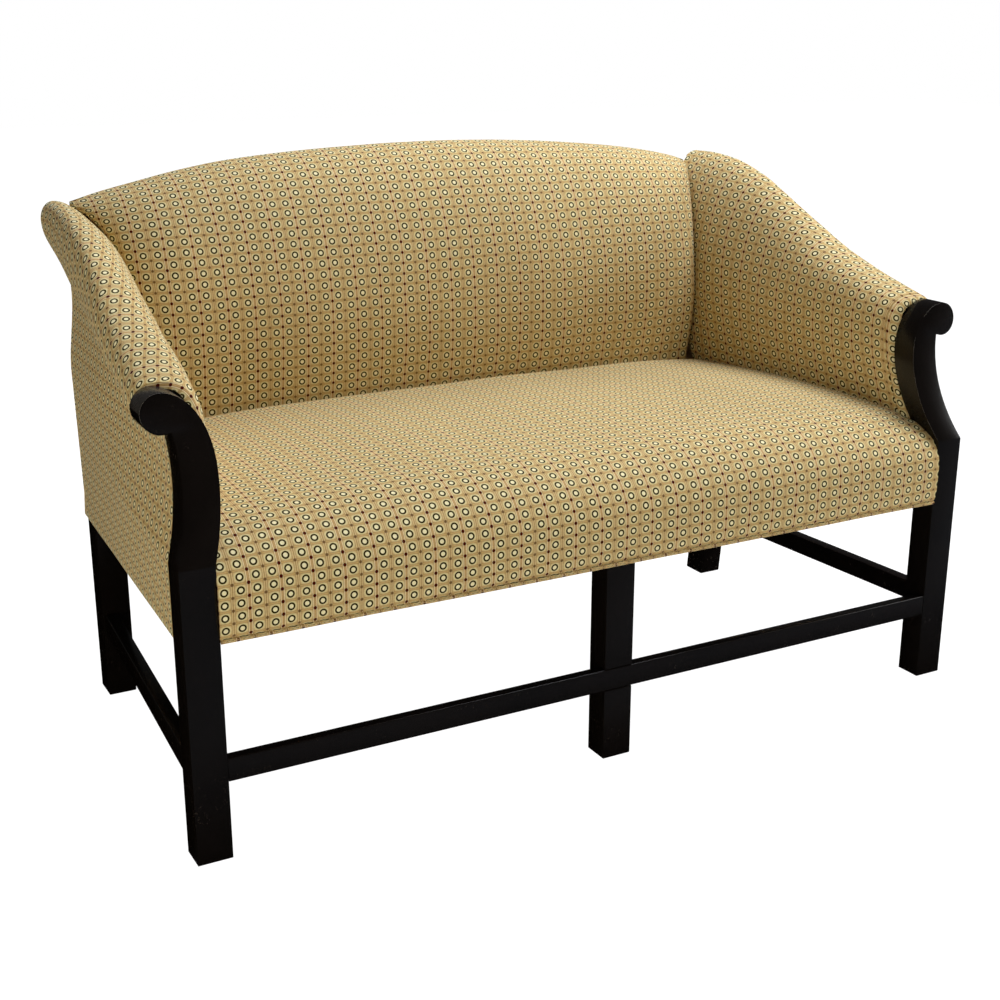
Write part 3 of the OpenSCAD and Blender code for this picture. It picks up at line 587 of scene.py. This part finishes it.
def eased(name, work, ease_width, material):
    """An object with rounded arrises, whose bevel faces have material index 1."""
    mesh = bpy.data.meshes.new(name)
    work.to_mesh(mesh)
    work.free()
    obj = new_object(name, mesh)
    mesh.materials.append(material)
    mesh.materials.append(material)
    bevel = obj.modifiers.new("eased", "BEVEL")
    bevel.material = 1
    bevel.width = ease_width
    bevel.segments = 3
    bevel.limit_method = "ANGLE"
    bevel.angle_limit = math.radians(22)
    baked(obj, bevel, name).shade_smooth()
    return obj


def finish_eased(obj, node, material):
    """Leaves one material on an eased object and puts it in place of a CAD node."""
    mesh = obj.data
    mesh.polygons.foreach_set("material_index", [0] * len(mesh.polygons))
    crease(mesh, math.radians(35))
    only_material(obj, material)
    stands_for(obj, node)


def show_wood():
    def at_front(place):
        return place.y / MM < post_front(place.z / MM) + 6 + FRONT_Y / MM

    def painted_highlight_left(place, normal, arris):
        """Painted highlight along the front rim of the left scroll, and a faint painted sheen on
        its upward faces.
        """
        if place.z < 0.612 or place.x > -0.640:
            return 0.0
        if arris and at_front(place):
            return 1.0
        return 0.07 if normal.z > 0.1 else 0.0

    def painted_highlight_right(place, normal, arris):
        """Painted highlight all along the inner front arris of the right post."""
        z = place.z / MM
        inner = place.x / MM < post_face(z) + 8 or z > 630
        return float(arris and z > ELBOW and at_front(place) and inner)

    # Painted highlights on the front posts' arrises, standing in for lamp reflections
    for node, painted_highlight in (("front_left_post", painted_highlight_left), ("front_right_post", painted_highlight_right)):
        name = node.replace("front", "scrolled")
        obj = eased(name, merged(node), 0.0022, LACQUER)
        highlight_layer = obj.data.attributes.new("painted_highlight", "FLOAT", "FACE")
        highlight_layer.data.foreach_set("value", [painted_highlight(face.center, face.normal, face.material_index == 1)
                                        for face in obj.data.polygons])
        finish_eased(obj, node, LACQUER)
    for node in ("front_middle_leg", "rear_left_post", "rear_right_post", "front_stretcher",
                 "left_side_stretcher", "right_side_stretcher"):
        obj = eased("eased_" + node, merged(node), 0.0018, LACQUER)
        finish_eased(obj, node, LACQUER)


# Upholstery

# Where the pattern starts across and along the seat; the back follows it across
CLOTH_PHASE = (5.9 + COLUMN / 2, ROW / 2)
FRONT_NECK = 597.0  # height at which an arm's cloth turns under its roll, at the front

# The seat: a rounded front that springs from a flat band, a slow crown and a tuck
ROUND_Y, ROUND_Z = 120.0, 390.0
ROUND_DEPTH, ROUND_HEIGHT = 125.4, 94.0
SEAT_EDGE = ROUND_Z + ROUND_HEIGHT
SEAT_CROWN, SEAT_SIDE_FALL = 9.0, 14.0
SEAT_TUCK_Y = 579.0
SEAT_UNDER, SEAT_UNDER_FRONT = 408.0, 327.4


def seat_profile(count):
    """Y and Z of the seat from its welt, over the rounded front, back to the tuck."""
    band = np.array([(3.0, 323.5), (-1.0, 327.0), (-3.6, 333.0), (-5.0, 343.0),
                     (-5.5, 362.0), (-5.4, 390.0)])
    turn = np.radians(np.linspace(0, 90, 60))[1:]
    front = np.stack([ROUND_Y - ROUND_DEPTH * np.cos(turn),
                      ROUND_Z + ROUND_HEIGHT * np.sin(turn)], axis=1)
    t = np.linspace(0, 1, 60)[1:]
    crown = np.stack([mix(ROUND_Y, SEAT_TUCK_Y - 24, t),
                      SEAT_EDGE + SEAT_CROWN * np.sin(np.radians(165 * t ** 0.8))], axis=1)
    tail = np.array([(SEAT_TUCK_Y - 14, 482), (SEAT_TUCK_Y - 4, 476), (SEAT_TUCK_Y, 464)])
    path = np.concatenate([band, front, crown, tail])
    run = run_of(path)
    return evenly(path, np.linspace(0, run[-1], count), run)


def seat_cover():
    rows, columns = 170, 181
    path = seat_profile(rows)
    y = np.broadcast_to(path[:, :1], (rows, columns))
    z = np.broadcast_to(path[:, 1:], (rows, columns))
    u = np.broadcast_to(signed_power(np.linspace(-1, 1, columns), 0.85), (rows, columns))
    fall = SEAT_SIDE_FALL * np.abs(u) ** 4 * share(z, ROUND_Z, SEAT_EDGE)
    x = u * (arm_face(y, np.maximum(z - fall, ELBOW)) + 0.6)
    rise = share(z, 380, 470)
    dips = (waver(x, y, 4, 260) * 1.6 * rise * (1 - np.abs(u) ** 6)
            - waver(x, z, 9, 190) * (1 - rise))
    outer = np.stack([x, y - dips * (1 - rise), z - fall + dips * rise], axis=2)
    front_z = mix(SEAT_UNDER_FRONT, SEAT_UNDER, share(z, SEAT_UNDER_FRONT, 421))
    inner = np.stack([u * (arm_face(y, ELBOW) - 1.4), np.maximum(y, 11.6),
                      np.where(y < 16, front_z, SEAT_UNDER)], axis=2)
    cloth = np.stack([x + CLOTH_PHASE[0], along(outer, 0) + CLOTH_PHASE[1]], axis=2)
    stands_for(cover("seat_cover", outer, inner, cloth), "seat_pad")


# The arms, by side, because the two are not quite alike: heights of the top by depth
ARM_TOP = {
    -1: smooth_line((60, 646), (114, 658), (169, 674), (239, 697), (304, 719), (376, 751),
                    (456, 784), (524, 803), (593, 817), (658, 823), (717, 822), (760, 820)),
    1: smooth_line((60, 646), (114, 656), (169, 670), (239, 690), (304, 711), (376, 748),
                   (456, 790), (524, 825), (593, 847), (658, 854), (717, 851), (760, 847))}
ARM_REAR_TOP = {-1: 820.5, 1: 847.0}
ARM_SWELL = {-1: 8.0, 1: 5.0}  # fullness of the padding behind the post
SEAM_DEPTH = {-1: 0.5, 1: 3.6}
SEAM_SHIFT = {-1: 0.0, 1: -11.2}  # how far the weave jumps at the seam
CLOTH_START = {-1: 3.4, 1: 4.0}
WOOD_TUCK = {-1: 1.5, 1: 5.5}  # how far the cloth is drawn in at the wood
NECK_DROP = 131.0  # how far under the top the cloth turns in, at the rear
CREASE_SHARE = 0.86  # share of an arm's depth at which it goes behind the back
# X of the roll's ridge and height of its dome's foot, at the front and rear of an arm
RIDGE_X, DOME_FOOT = (668, 636), (555, 590)
# Shares of an arm's depth: the seam, its width, and the boxing that rises to it
SEAM_AT, SEAM_WIDTH, BOXING = 0.0256, 0.0018, 0.016
ARM_SHARES = np.concatenate([
    [0, 0.0008, 0.002, 0.004, 0.0065, 0.0095, 0.0125, 0.0155, 0.018, 0.0200, 0.0215, 0.0228,
     0.0238, 0.0247, SEAM_AT, 0.0265, 0.0276, 0.0290, 0.031, 0.035, 0.041, 0.048],
    np.linspace(0.057, 1, 116)])
SEAM_ROW = 14
TOP_LINE_Z = 700.0  # height at which a share of depth becomes the depth in ARM_TOP


def arm_fullness(t):
    """Power of the dome's curve: the padding is fuller behind the front post."""
    return mix(0.62, 1.0, ease(share(t, 0.12, 0.62)))


def rear_edge(side, z):
    """Half width of the outside back below the arm."""
    neck_z = ARM_REAR_TOP[side] - NECK_DROP
    return PANEL_FOOT - 7 * share(z, RAIL_BASE, 545) - 18 * ease(share(z, 545, neck_z))


def arm_depth(t, z):
    return mix(post_rear(z) + SOFT_GAP, rear_back(z) - SOFT_GAP, t)


def arm_ring(side, t, count):
    """X and Z round an arm at share t of its depth: up its face, over the roll, to its neck."""
    ridge_x, base_z = mix(*RIDGE_X, t), mix(*DOME_FOOT, t)
    top = ARM_TOP[side](arm_depth(t, TOP_LINE_Z))
    rear_top = ARM_REAR_TOP[side]
    full = arm_fullness(t)
    swell = ARM_SWELL[side] * (1 - share(t, 0.03, 0.5)) * ease(share(t, -0.012, 0.022))
    half = ridge_x - arm_face(arm_depth(t, base_z), base_z)
    edge_x, edge_z = mix(695, 658, t), mix(SCROLL_Z, rear_top - 27, t)
    neck = np.array([mix(post_edge(FRONT_NECK), 625.0, t),
                     mix(FRONT_NECK, rear_top - NECK_DROP, t)])
    z = np.linspace(405, base_z, 30)[:-1]
    drawn = swell * ease(share(z, 462, base_z + 25))
    face = np.stack([arm_face(arm_depth(t, z), z) - drawn, z], axis=1)
    a = np.radians(np.linspace(0, 90, 60))
    reach = half + swell * (0.92 + 0.08 * np.sin(a))
    dome = np.stack([ridge_x - reach * np.cos(a) ** full,
                     base_z + (top - base_z) * np.sin(a) ** full], axis=1)
    a = np.radians(np.linspace(0, 90, 30))[1:]
    roll = np.stack([ridge_x + (edge_x - ridge_x) * np.sin(a),
                     edge_z + (top - edge_z) * np.cos(a)], axis=1)
    # The cloth turns under the roll in one curve to the neck
    s = np.linspace(0, 1, 30)[1:, None]
    a0, a1 = np.array([edge_x, edge_z]), np.array([edge_x, edge_z - mix(15, 45, t)])
    a2 = neck + [mix(26, 0, t), mix(0, 45, t)]
    under = (a0 * (1 - s) ** 3 + 3 * a1 * s * (1 - s) ** 2
             + 3 * a2 * s ** 2 * (1 - s) + neck * s ** 3)
    ring = np.concatenate([face, dome, roll, under])
    run = run_of(ring)
    start = 0.0
    if t > CREASE_SHARE:
        # Behind the back only the part that shows above it is covered
        from_z = mix(405, 640, (t - CREASE_SHARE) / (1 - CREASE_SHARE))
        rising = len(face) + len(dome)
        start = np.interp(from_z, ring[:rising, 1], run[:rising])
    s = np.linspace(start, run[-1], count)
    return evenly(ring, s, run), s


def inset_ring(ring, thick):
    """A ring moved inwards, square to itself, by a thickness at each point."""
    ahead = np.roll(ring, -1, axis=0)
    ahead[-1] = ring[-1]
    behind = np.roll(ring, 1, axis=0)
    behind[0] = ring[0]
    d = ahead - behind
    d /= np.linalg.norm(d, axis=1)[:, None]
    return ring + np.asarray(thick)[:, None] * np.stack([d[:, 1], -d[:, 0]], axis=1)


def arm_cover(side):
    columns = 150
    outer, inner, cloth = [], [], []
    for t in ARM_SHARES:
        ring, run = arm_ring(side, t, columns)
        k = np.linspace(0, 1, columns)
        # A narrow boxing rises from the wood to a seam, behind which the padding swells
        rise = 1 - min(t / BOXING, 1.0)
        groove = math.exp(-((t - SEAM_AT) / SEAM_WIDTH) ** 2)
        tuck = (WOOD_TUCK[side] * rise ** 2.4 + SEAM_DEPTH[side] * groove
                + 0.8 * math.exp(-t / 0.05) * (1 - rise))
        dips = waver(arm_depth(t, ring[:, 1]), run, 21 + side, 230) * 1.5 * share(t, 0.05, 0.15)
        # Puckers where the seam turns over the roll
        top = np.exp(-((k - 0.66) / 0.09) ** 2)
        dips = dips + 0.4 * top * math.exp(-((t - 0.06) / 0.02) ** 2) * np.sin(run / 6.5)
        face = inset_ring(ring, tuck - dips)
        back = inset_ring(ring, mix(14, 4, share(k, 0.55, 0.95)))
        for grid, line in ((outer, face), (inner, back)):
            grid.append(np.stack([side * line[:, 0], arm_depth(t, line[:, 1]), line[:, 1]], axis=1))
        cloth.append(np.stack([arm_depth(t, np.full(columns, 600.0)) * 1.01, run], axis=1))
    outer, inner, cloth = np.array(outer), np.array(inner), np.array(cloth)
    # Over the boxing the weave follows the true way over the cloth
    way = along(outer, 0)
    cloth[:SEAM_ROW, :, 0] = (cloth[SEAM_ROW, :, 0] - (way[SEAM_ROW] - way[:SEAM_ROW])
                              + SEAM_SHIFT[side])
    turn = math.radians(2.5)
    turned = np.stack([cloth[..., 0] * math.cos(turn) + cloth[..., 1] * math.sin(turn),
                       cloth[..., 1] * math.cos(turn) - cloth[..., 0] * math.sin(turn)], axis=2)
    turned += [CLOTH_START[side], 4.0]
    name = SIDE_NAME[side]
    obj = cover(name + "_arm_cover", outer, inner, turned)
    stands_for(obj, name + "_arm_pad")


def outside_arm(side):
    """The flat panel of cloth outside an arm, from its neck down to the welt."""
    rows, columns = 90, 70
    foot = 324.0
    t = np.linspace(0, 1, rows)[:, None]
    s = np.linspace(0, 1, columns)[None, :]
    rear_neck = ARM_REAR_TOP[side] - NECK_DROP
    z = mix(mix(FRONT_NECK, rear_neck, t) - 0.5, foot, s)
    front_z, rear_z = mix(FRONT_NECK, foot, s), mix(rear_neck, foot, s)
    x = mix(post_edge(front_z), rear_edge(side, rear_z), t)
    y = arm_depth(t, z)
    puff = np.sin(np.pi * t) ** 0.6 * np.sin(np.pi * s) ** 0.6
    dents = waver(y, z, 33 + side, 210) * 1.6 * puff + 1.5 * puff
    outer = np.stack([side * (x + dents), y, z], axis=2)
    inner = np.stack([side * (x - 3), y, z], axis=2)
    cloth = np.stack([y + 3.0, z * 1.01], axis=2)
    name = SIDE_NAME[side]
    obj = cover(name + "_outside_arm_cover", outer, inner, cloth)
    stands_for(obj, name + "_outside_arm")


# Top of the back: the arch stands a little to the sitter's left
crest_line = smooth_line(
    (-612, 819), (-561, 834), (-504, 847), (-427, 863), (-350, 875), (-270, 882.5),
    (-190, 887.5), (-118, 890.5), (-32, 893), (54, 893.5), (146, 891.6), (240, 887.2),
    (336, 879.8), (437, 869.2), (514, 857.5), (574, 844.5), (612, 833))
BACK_FOOT, BELLY_Y, BELLY_Z = 434.0, 565.0, 600.0
BACK_LEAN = 160.0  # how far the crest lies behind the belly
BACK_HALF = 609.0  # where the back's ends stop behind the arms
END_WIDTH = 115.0  # width over which the ends round away
ROW_ON_BACK = 588.3  # height of the middle of a row of rings


def back_profile(count):
    """Y, Z, share of the crest's drop and depth of the rounded ends, up the back."""
    parts = []
    for z in np.linspace(BACK_FOOT, BELLY_Z, 40):
        tucked = 14 * min((BELLY_Z - z) / 120, 1) ** 2
        parts.append((BELLY_Y + tucked, z, 0.0, mix(8, 16, (z - BACK_FOOT) / 166)))
    for t in np.linspace(0, 1, 110)[1:]:
        a = math.radians(84 * t)
        z = BELLY_Z + (CREST - BELLY_Z) * math.sin(a)
        parts.append((BELLY_Y + BACK_LEAN * (1 - math.cos(a)), z, float(share(z, 650, CREST)),
                      mix(16, 38, math.sin(math.radians(min(150 * t, 135))))))
    lip = rear_back(873.0) + OUTSIDE_BACK
    for y, below, round_end in ((716, 0.2, 16), (723, 0.5, 11), (731, 2.5, 5), (739, 6, 2),
                                (745, 11, 0), (lip - 0.5, 16, 0), (lip, 20, 0)):
        parts.append((y, CREST - below, 1, round_end))
    path = np.array(parts, float)
    run = run_of(path[:, :2])
    return evenly(path, np.linspace(0, run[-1], count), run)


def dome_x(side, y, z):
    """Where the inner side of an arm stands at a depth and a height."""
    t = np.clip((y - post_rear(z)) / (rear_back(z) - post_rear(z)), 0, 1)
    base_z = mix(*DOME_FOOT, t)
    ridge_x = mix(*RIDGE_X, t)
    half = ridge_x - arm_face(y, base_z)
    top = ARM_TOP[side](arm_depth(t, TOP_LINE_Z))
    rise = np.clip((z - base_z) / (top - base_z), 0, 0.985)
    full = arm_fullness(t)
    return ridge_x - half * (1 - rise ** (2 / full)) ** (full / 2)


def back_end(side, y0, z0, drop, round_end):
    """How far from the middle the back reaches into an arm at one of its rows."""
    end_z = z0 - drop * (CREST - crest_line(side * 600.0))
    # The tuck beside the arm is a narrow dark fold that opens towards the seat
    fold = 4.4 * (1 - share(end_z, 775, 845)) + 8.0 * share(600 - end_z, 0, 130)
    reach = float(dome_x(side, min(y0 + round_end, rear_back(z0)), end_z))
    return min(BACK_HALF, reach + 1.0 - fold)


def back_cover():
    rows, columns = 170, 191
    v = signed_power(np.linspace(-1, 1, columns), 0.78)
    outer, inner = [], []
    for y0, z0, drop, round_end in back_profile(rows):
        half = np.where(v < 0, back_end(-1, y0, z0, drop, round_end),
                        back_end(1, y0, z0, drop, round_end))
        x = v * half
        s = share(np.abs(x), half - END_WIDTH, half)
        z = z0 - drop * (CREST - crest_line(x))
        y = y0 + round_end * (1 - np.sqrt(1 - s ** 2))
        dips = waver(x, z, 55, 300) * 1.8 * (1 - s) * share(z, BACK_FOOT, 520) * (1 - drop)
        y = np.minimum(y + dips, rear_back(z) + OUTSIDE_BACK)
        outer.append(np.stack([x, y, z], axis=1))
        # The under side lies on the webbing, and past the crest rail on its top
        under = crest_line(x) - 21.2
        if y0 < 700:
            low = np.minimum(z, under)
            inner.append(np.stack([x, np.maximum(rear_back(low) - 29, y + 4), low], axis=1))
        else:
            rail = rear_back(under)
            over = mix(rail - 10, rail + OUTSIDE_BACK - 1, share(y0, 700, 750))
            inner.append(np.stack([x, over, under], axis=1))
    outer, inner = np.array(outer), np.array(inner)
    across = along(outer, 1)
    middle = columns // 2
    across -= across[:, middle:middle + 1]
    up = along(outer, 0) + BACK_FOOT - ROW_ON_BACK + 20.5 * ROW
    cloth = np.stack([across + CLOTH_PHASE[0], up], axis=2)
    stands_for(cover("back_cover", outer, inner, cloth), "back_pad")


# The welts grow along paths in a geometry tree

def welt_tree():
    """A round cord swept along a path, with the cloth laid along it."""
    wires, given, made = node_group("welt_cord", [
        ("Path", GEOMETRY, None), ("Radius", FLOAT, 0.003), ("Sides", "NodeSocketInt", 16),
        ("Start", FLOAT, 0.0), ("Material", "NodeSocketMaterial", None)],
        [("Geometry", GEOMETRY)], "GeometryNodeTree")

    def measured(curve):
        """A curve that carries the running length at each of its points."""
        run = wires.node("GeometryNodeSplineParameter")
        kept = wires.node("GeometryNodeCaptureAttribute", domain="POINT")
        kept.capture_items.new("FLOAT", "Length")
        wires.join(curve.outputs[0], kept.inputs["Geometry"])
        wires.join(run.outputs["Length"], kept.inputs["Length"])
        return kept.outputs

    line = measured(wires.node("GeometryNodeMeshToCurve", {"Mesh": given["Path"]}))
    ring = measured(wires.node("GeometryNodeCurvePrimitiveCircle", {
        "Resolution": given["Sides"], "Radius": given["Radius"]}))
    swept = wires.node("GeometryNodeCurveToMesh", {
        "Curve": line["Geometry"], "Profile Curve": ring["Geometry"], "Fill Caps": True})
    cloth = wires.node("ShaderNodeCombineXYZ", {
        "X": wires.math("ADD", line["Length"], given["Start"]), "Y": ring["Length"]})
    stored = wires.node("GeometryNodeStoreNamedAttribute", {
        "Geometry": swept.outputs["Mesh"], "Name": "cloth"}, data_type="FLOAT2", domain="CORNER")
    wires.join(cloth.outputs[0], next(s for s in stored.inputs if s.name == "Value" and s.enabled))
    smooth = wires.node("GeometryNodeSetShadeSmooth", {"Geometry": stored.outputs["Geometry"]})
    real = wires.node("GeometryNodeRealizeInstances", {"Geometry": smooth.outputs["Geometry"]})
    final = wires.node("GeometryNodeSetMaterial", {
        "Geometry": real.outputs["Geometry"], "Material": given["Material"]})
    wires.join(final.outputs["Geometry"], made["Geometry"])
    return wires.tree


def grown(name, path, tree, values):
    """Plain mesh of what a geometry tree makes along a path of points in millimetres."""
    mesh = bpy.data.meshes.new(name)
    points = placed(path)
    mesh.from_pydata(points.tolist(), [(i, i + 1) for i in range(len(points) - 1)], [])
    obj = new_object(name, mesh)
    modifier = obj.modifiers.new("grow", "NODES")
    modifier.node_group = tree
    for socket in tree.interface.items_tree:
        if socket.name in values:
            modifier[socket.identifier] = values[socket.name]
    baked(obj, modifier, name)
    return obj


def welts():
    """The cord along the front and both sides, laid by hand and so not quite straight."""
    tree = welt_tree()
    values = {"Radius": 0.0029, "Material": CLOTH}
    x = np.linspace(-POST_INNER + 0.5, POST_INNER - 0.5, 160)
    path = np.stack([x, -1.2 + 0.25 * np.sin(x / 37), 323.9 + 0.35 * np.sin(x / 71 + 1)], axis=1)
    front = grown("front_welt_cord", path, tree, values)
    stands_for(front, "front_welt")
    for side in (-1, 1):
        name = SIDE_NAME[side]
        y = np.linspace(LEG_DEPTH + 0.5, float(rear_back(324)) - 0.5, 90)
        x = mix(HALF_FRONT, PANEL_FOOT, (y - LEG_DEPTH) / 576.0) - 2.6
        path = np.stack([side * x, y, 324 + 0.4 * np.sin(y / 53)], axis=1)
        welt = grown(name + "_welt_cord", path, tree, values)
        stands_for(welt, name + "_welt")


def half_back_outline(side):
    """X and Z of the outside back, from its foot round the arm's end to the crest's middle."""
    neck_z = ARM_REAR_TOP[side] - NECK_DROP
    z = np.linspace(RAIL_BASE, neck_z, 30)[:-1]
    edge = np.stack([rear_edge(side, z), z], axis=1)
    ring = arm_ring(side, 1.0, 90)[0][::-1]
    ring = ring[(ring[:, 0] > BACK_HALF) & (ring[:, 1] >= neck_z)]
    x = np.linspace(BACK_HALF - 1, 0, 60)
    arch = np.stack([x, crest_line(side * x) - 19], axis=1)
    return np.concatenate([edge, ring, arch]) * [side, 1]


def lay_cloth(mesh):
    """Cloth coordinates of the flat outside back, turned round its upright edges."""
    points = np.empty(len(mesh.vertices) * 3)
    mesh.vertices.foreach_get("co", points)
    points = points.reshape(-1, 3)
    corner = np.empty(len(mesh.loops), dtype=np.int32)
    mesh.loops.foreach_get("vertex_index", corner)
    tilt = math.atan(RAKE)
    axes = np.array([(1, 0, 0), (0, math.sin(tilt), math.cos(tilt))])
    laid = (points @ axes.T)[corner]
    facing = np.repeat([abs(face.normal.x) for face in mesh.polygons],
                       [face.loop_total for face in mesh.polygons])
    edge = facing > 0.7
    laid[edge, 0] = points[corner, 1][edge]
    layer = mesh.uv_layers.new(name="cloth")
    layer.data.foreach_set("uv", laid.astype(np.float32).ravel())


def outside_back_cover():
    outline = np.concatenate([half_back_outline(1), half_back_outline(-1)[-2::-1]])
    work = bmesh.new()
    face = work.faces.new([work.verts.new((x, 0, z)) for x, z in outline])
    pushed = bmesh.ops.extrude_face_region(work, geom=[face])["geom"]
    for vert in pushed:
        if isinstance(vert, bmesh.types.BMVert):
            vert.co.y = OUTSIDE_BACK
    bmesh.ops.bisect_plane(work, geom=work.verts[:] + work.edges[:] + work.faces[:],
                           plane_co=(0, 0, KNEE), plane_no=(0, 0, 1))
    for vert in work.verts:
        vert.co.y += float(rear_back(vert.co.z))
        vert.co = Vector(placed(list(vert.co)))
    bmesh.ops.recalc_face_normals(work, faces=work.faces[:])
    obj = eased("outside_back_cover", work, 0.0022, CLOTH)
    lay_cloth(obj.data)
    finish_eased(obj, "outside_back", CLOTH)


def inner_materials():
    """Materials of the CAD nodes that stay as they are, under the cloth and the feet."""
    finishes = {
        HARDWOOD: ("front_seat_rail", "rear_seat_rail", "left_seat_rail", "right_seat_rail",
                   "seat_cross_rail", "corner_blocks", "lower_back_rail", "crest_rail",
                   "left_back_stile", "right_back_stile", "middle_back_stile",
                   "left_arm_rail", "right_arm_rail", "left_tack_rail", "right_tack_rail"),
        JUTE: ("seat_webbing", "seat_deck", "back_webbing"),
        CAMBRIC: ("dust_cover",),
        STEEL: ("foot_glides",)}
    for material, nodes in finishes.items():
        for node in nodes:
            only_material(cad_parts[node], material)


# Floor, light and camera

WHITE = (1, 1, 1, 1)


def background_rays(wires):
    """The Light Path sockets, and 1 for the rays that see the background as white."""
    path = wires.node("ShaderNodeLightPath").outputs
    return path, wires.math("MAXIMUM", path["Is Camera Ray"], path["Is Transmission Ray"])


def white_floor():
    material = bpy.data.materials.new("white_floor")
    wires = blank_tree(material)
    path, seen = background_rays(wires)
    matte = wires.node("ShaderNodeBsdfDiffuse", {"Color": (0.9, 0.9, 0.9, 1)})
    white = wires.node("ShaderNodeEmission", {"Color": WHITE, "Strength": 1.2})
    mixed = wires.node("ShaderNodeMixShader", {
        "Fac": wires.math("MULTIPLY", seen, 0.86), 1: matte.outputs["BSDF"],
        2: white.outputs["Emission"]})
    # Polished wood sees only a dim cool floor in front of the seat
    depth = wires.split(wires.node("ShaderNodeTexCoord").outputs["Object"])["Y"]
    near = wires.math("SUBTRACT", 1.0, wires.band(depth, -0.7, -0.3))
    dim = wires.node("ShaderNodeEmission", {
        "Color": (0.78, 0.86, 1, 1), "Strength": wires.math("MULTIPLY", near, 0.2)})
    shown = wires.node("ShaderNodeMixShader", {
        "Fac": path["Is Glossy Ray"], 1: mixed.outputs["Shader"], 2: dim.outputs["Emission"]})
    wires.node("ShaderNodeOutputMaterial", {"Surface": shown.outputs["Shader"]})
    return material


def stage():
    mesh = bpy.data.meshes.new("floor")
    size = 14.0
    mesh.from_pydata([(-size, -size, 0), (size, -size, 0), (size, size, 0), (-size, size, 0)],
                     [], [(0, 1, 2, 3)])
    mesh.materials.append(white_floor())
    floor = new_object("floor", mesh)

    world = bpy.data.worlds.new("studio")
    bpy.context.scene.world = world
    wires = blank_tree(world)
    seen = background_rays(wires)[1]
    sky = wires.node("ShaderNodeBackground", {
        "Color": WHITE, "Strength": wires.math("MULTIPLY_ADD", seen, 0.96, 0.04)})
    wires.node("ShaderNodeOutputWorld", {"Surface": sky.outputs["Background"]})


WARM, PLAIN, COOL = (1.0, 0.92, 0.72), (1.0, 1.0, 1.0), (0.97, 1.0, 1.08)


def area_light(name, place, size, power, color, aim=(0, 0, 0.5), mirrored=False):
    data = bpy.data.lights.new(name, "AREA")
    data.color = color
    data.shape = "RECTANGLE"
    data.size, data.size_y = size
    data.energy = power
    lamp = new_object(name, data)
    lamp.location = place
    lamp.visible_glossy = mirrored
    lamp.rotation_euler = (Vector(aim) - Vector(place)).to_track_quat("-Z", "Y").to_euler()


def lights():
    """Two main lamps on the right that the lacquer mirrors, and fill that it doesn't."""
    area_light("high_right", (1.5, -0.25, 3.4), (1.4, 1.4), 93, COOL, mirrored=True)
    area_light("low_right", (3.4, -0.8, 1.6), (1.6, 1.6), 44, PLAIN, mirrored=True)
    area_light("high_rear", (0.3, 1.6, 3.0), (2.4, 1.6), 36, COOL)
    area_light("left_front", (-2.6, -2.2, 1.9), (1.6, 1.6), 5, WARM)
    area_light("low_left", (-2.3, -1.0, 0.25), (1.2, 0.4), 13.5, WARM, aim=(-0.65, 0, 0.45))
    area_light("low_front", (0.6, -3.6, 1.0), (2.0, 1.2), 20, WARM, aim=(0, 0, 0.4))


def camera():
    """The photograph's camera, solved from the parallel edges of the frame."""
    data = bpy.data.cameras.new("camera")
    data.sensor_width = 36.0
    data.lens = 54.117
    data.clip_end = 60
    eye = new_object("camera", data)
    eye.location = (-1.17843, -1.77547 + FRONT_Y, 1.10887)
    yaw, pitch, roll = 0.4995, 0.3122, -0.0012
    eye.rotation_euler = (math.pi / 2 - pitch, roll, -yaw)
    bpy.context.scene.camera = eye


show_wood()
seat_cover()
for side in (-1, 1):
    arm_cover(side)
    outside_arm(side)
back_cover()
outside_back_cover()
welts()
inner_materials()
stage()
lights()
camera()
bpy.context.scene.view_settings.view_transform = "Standard"
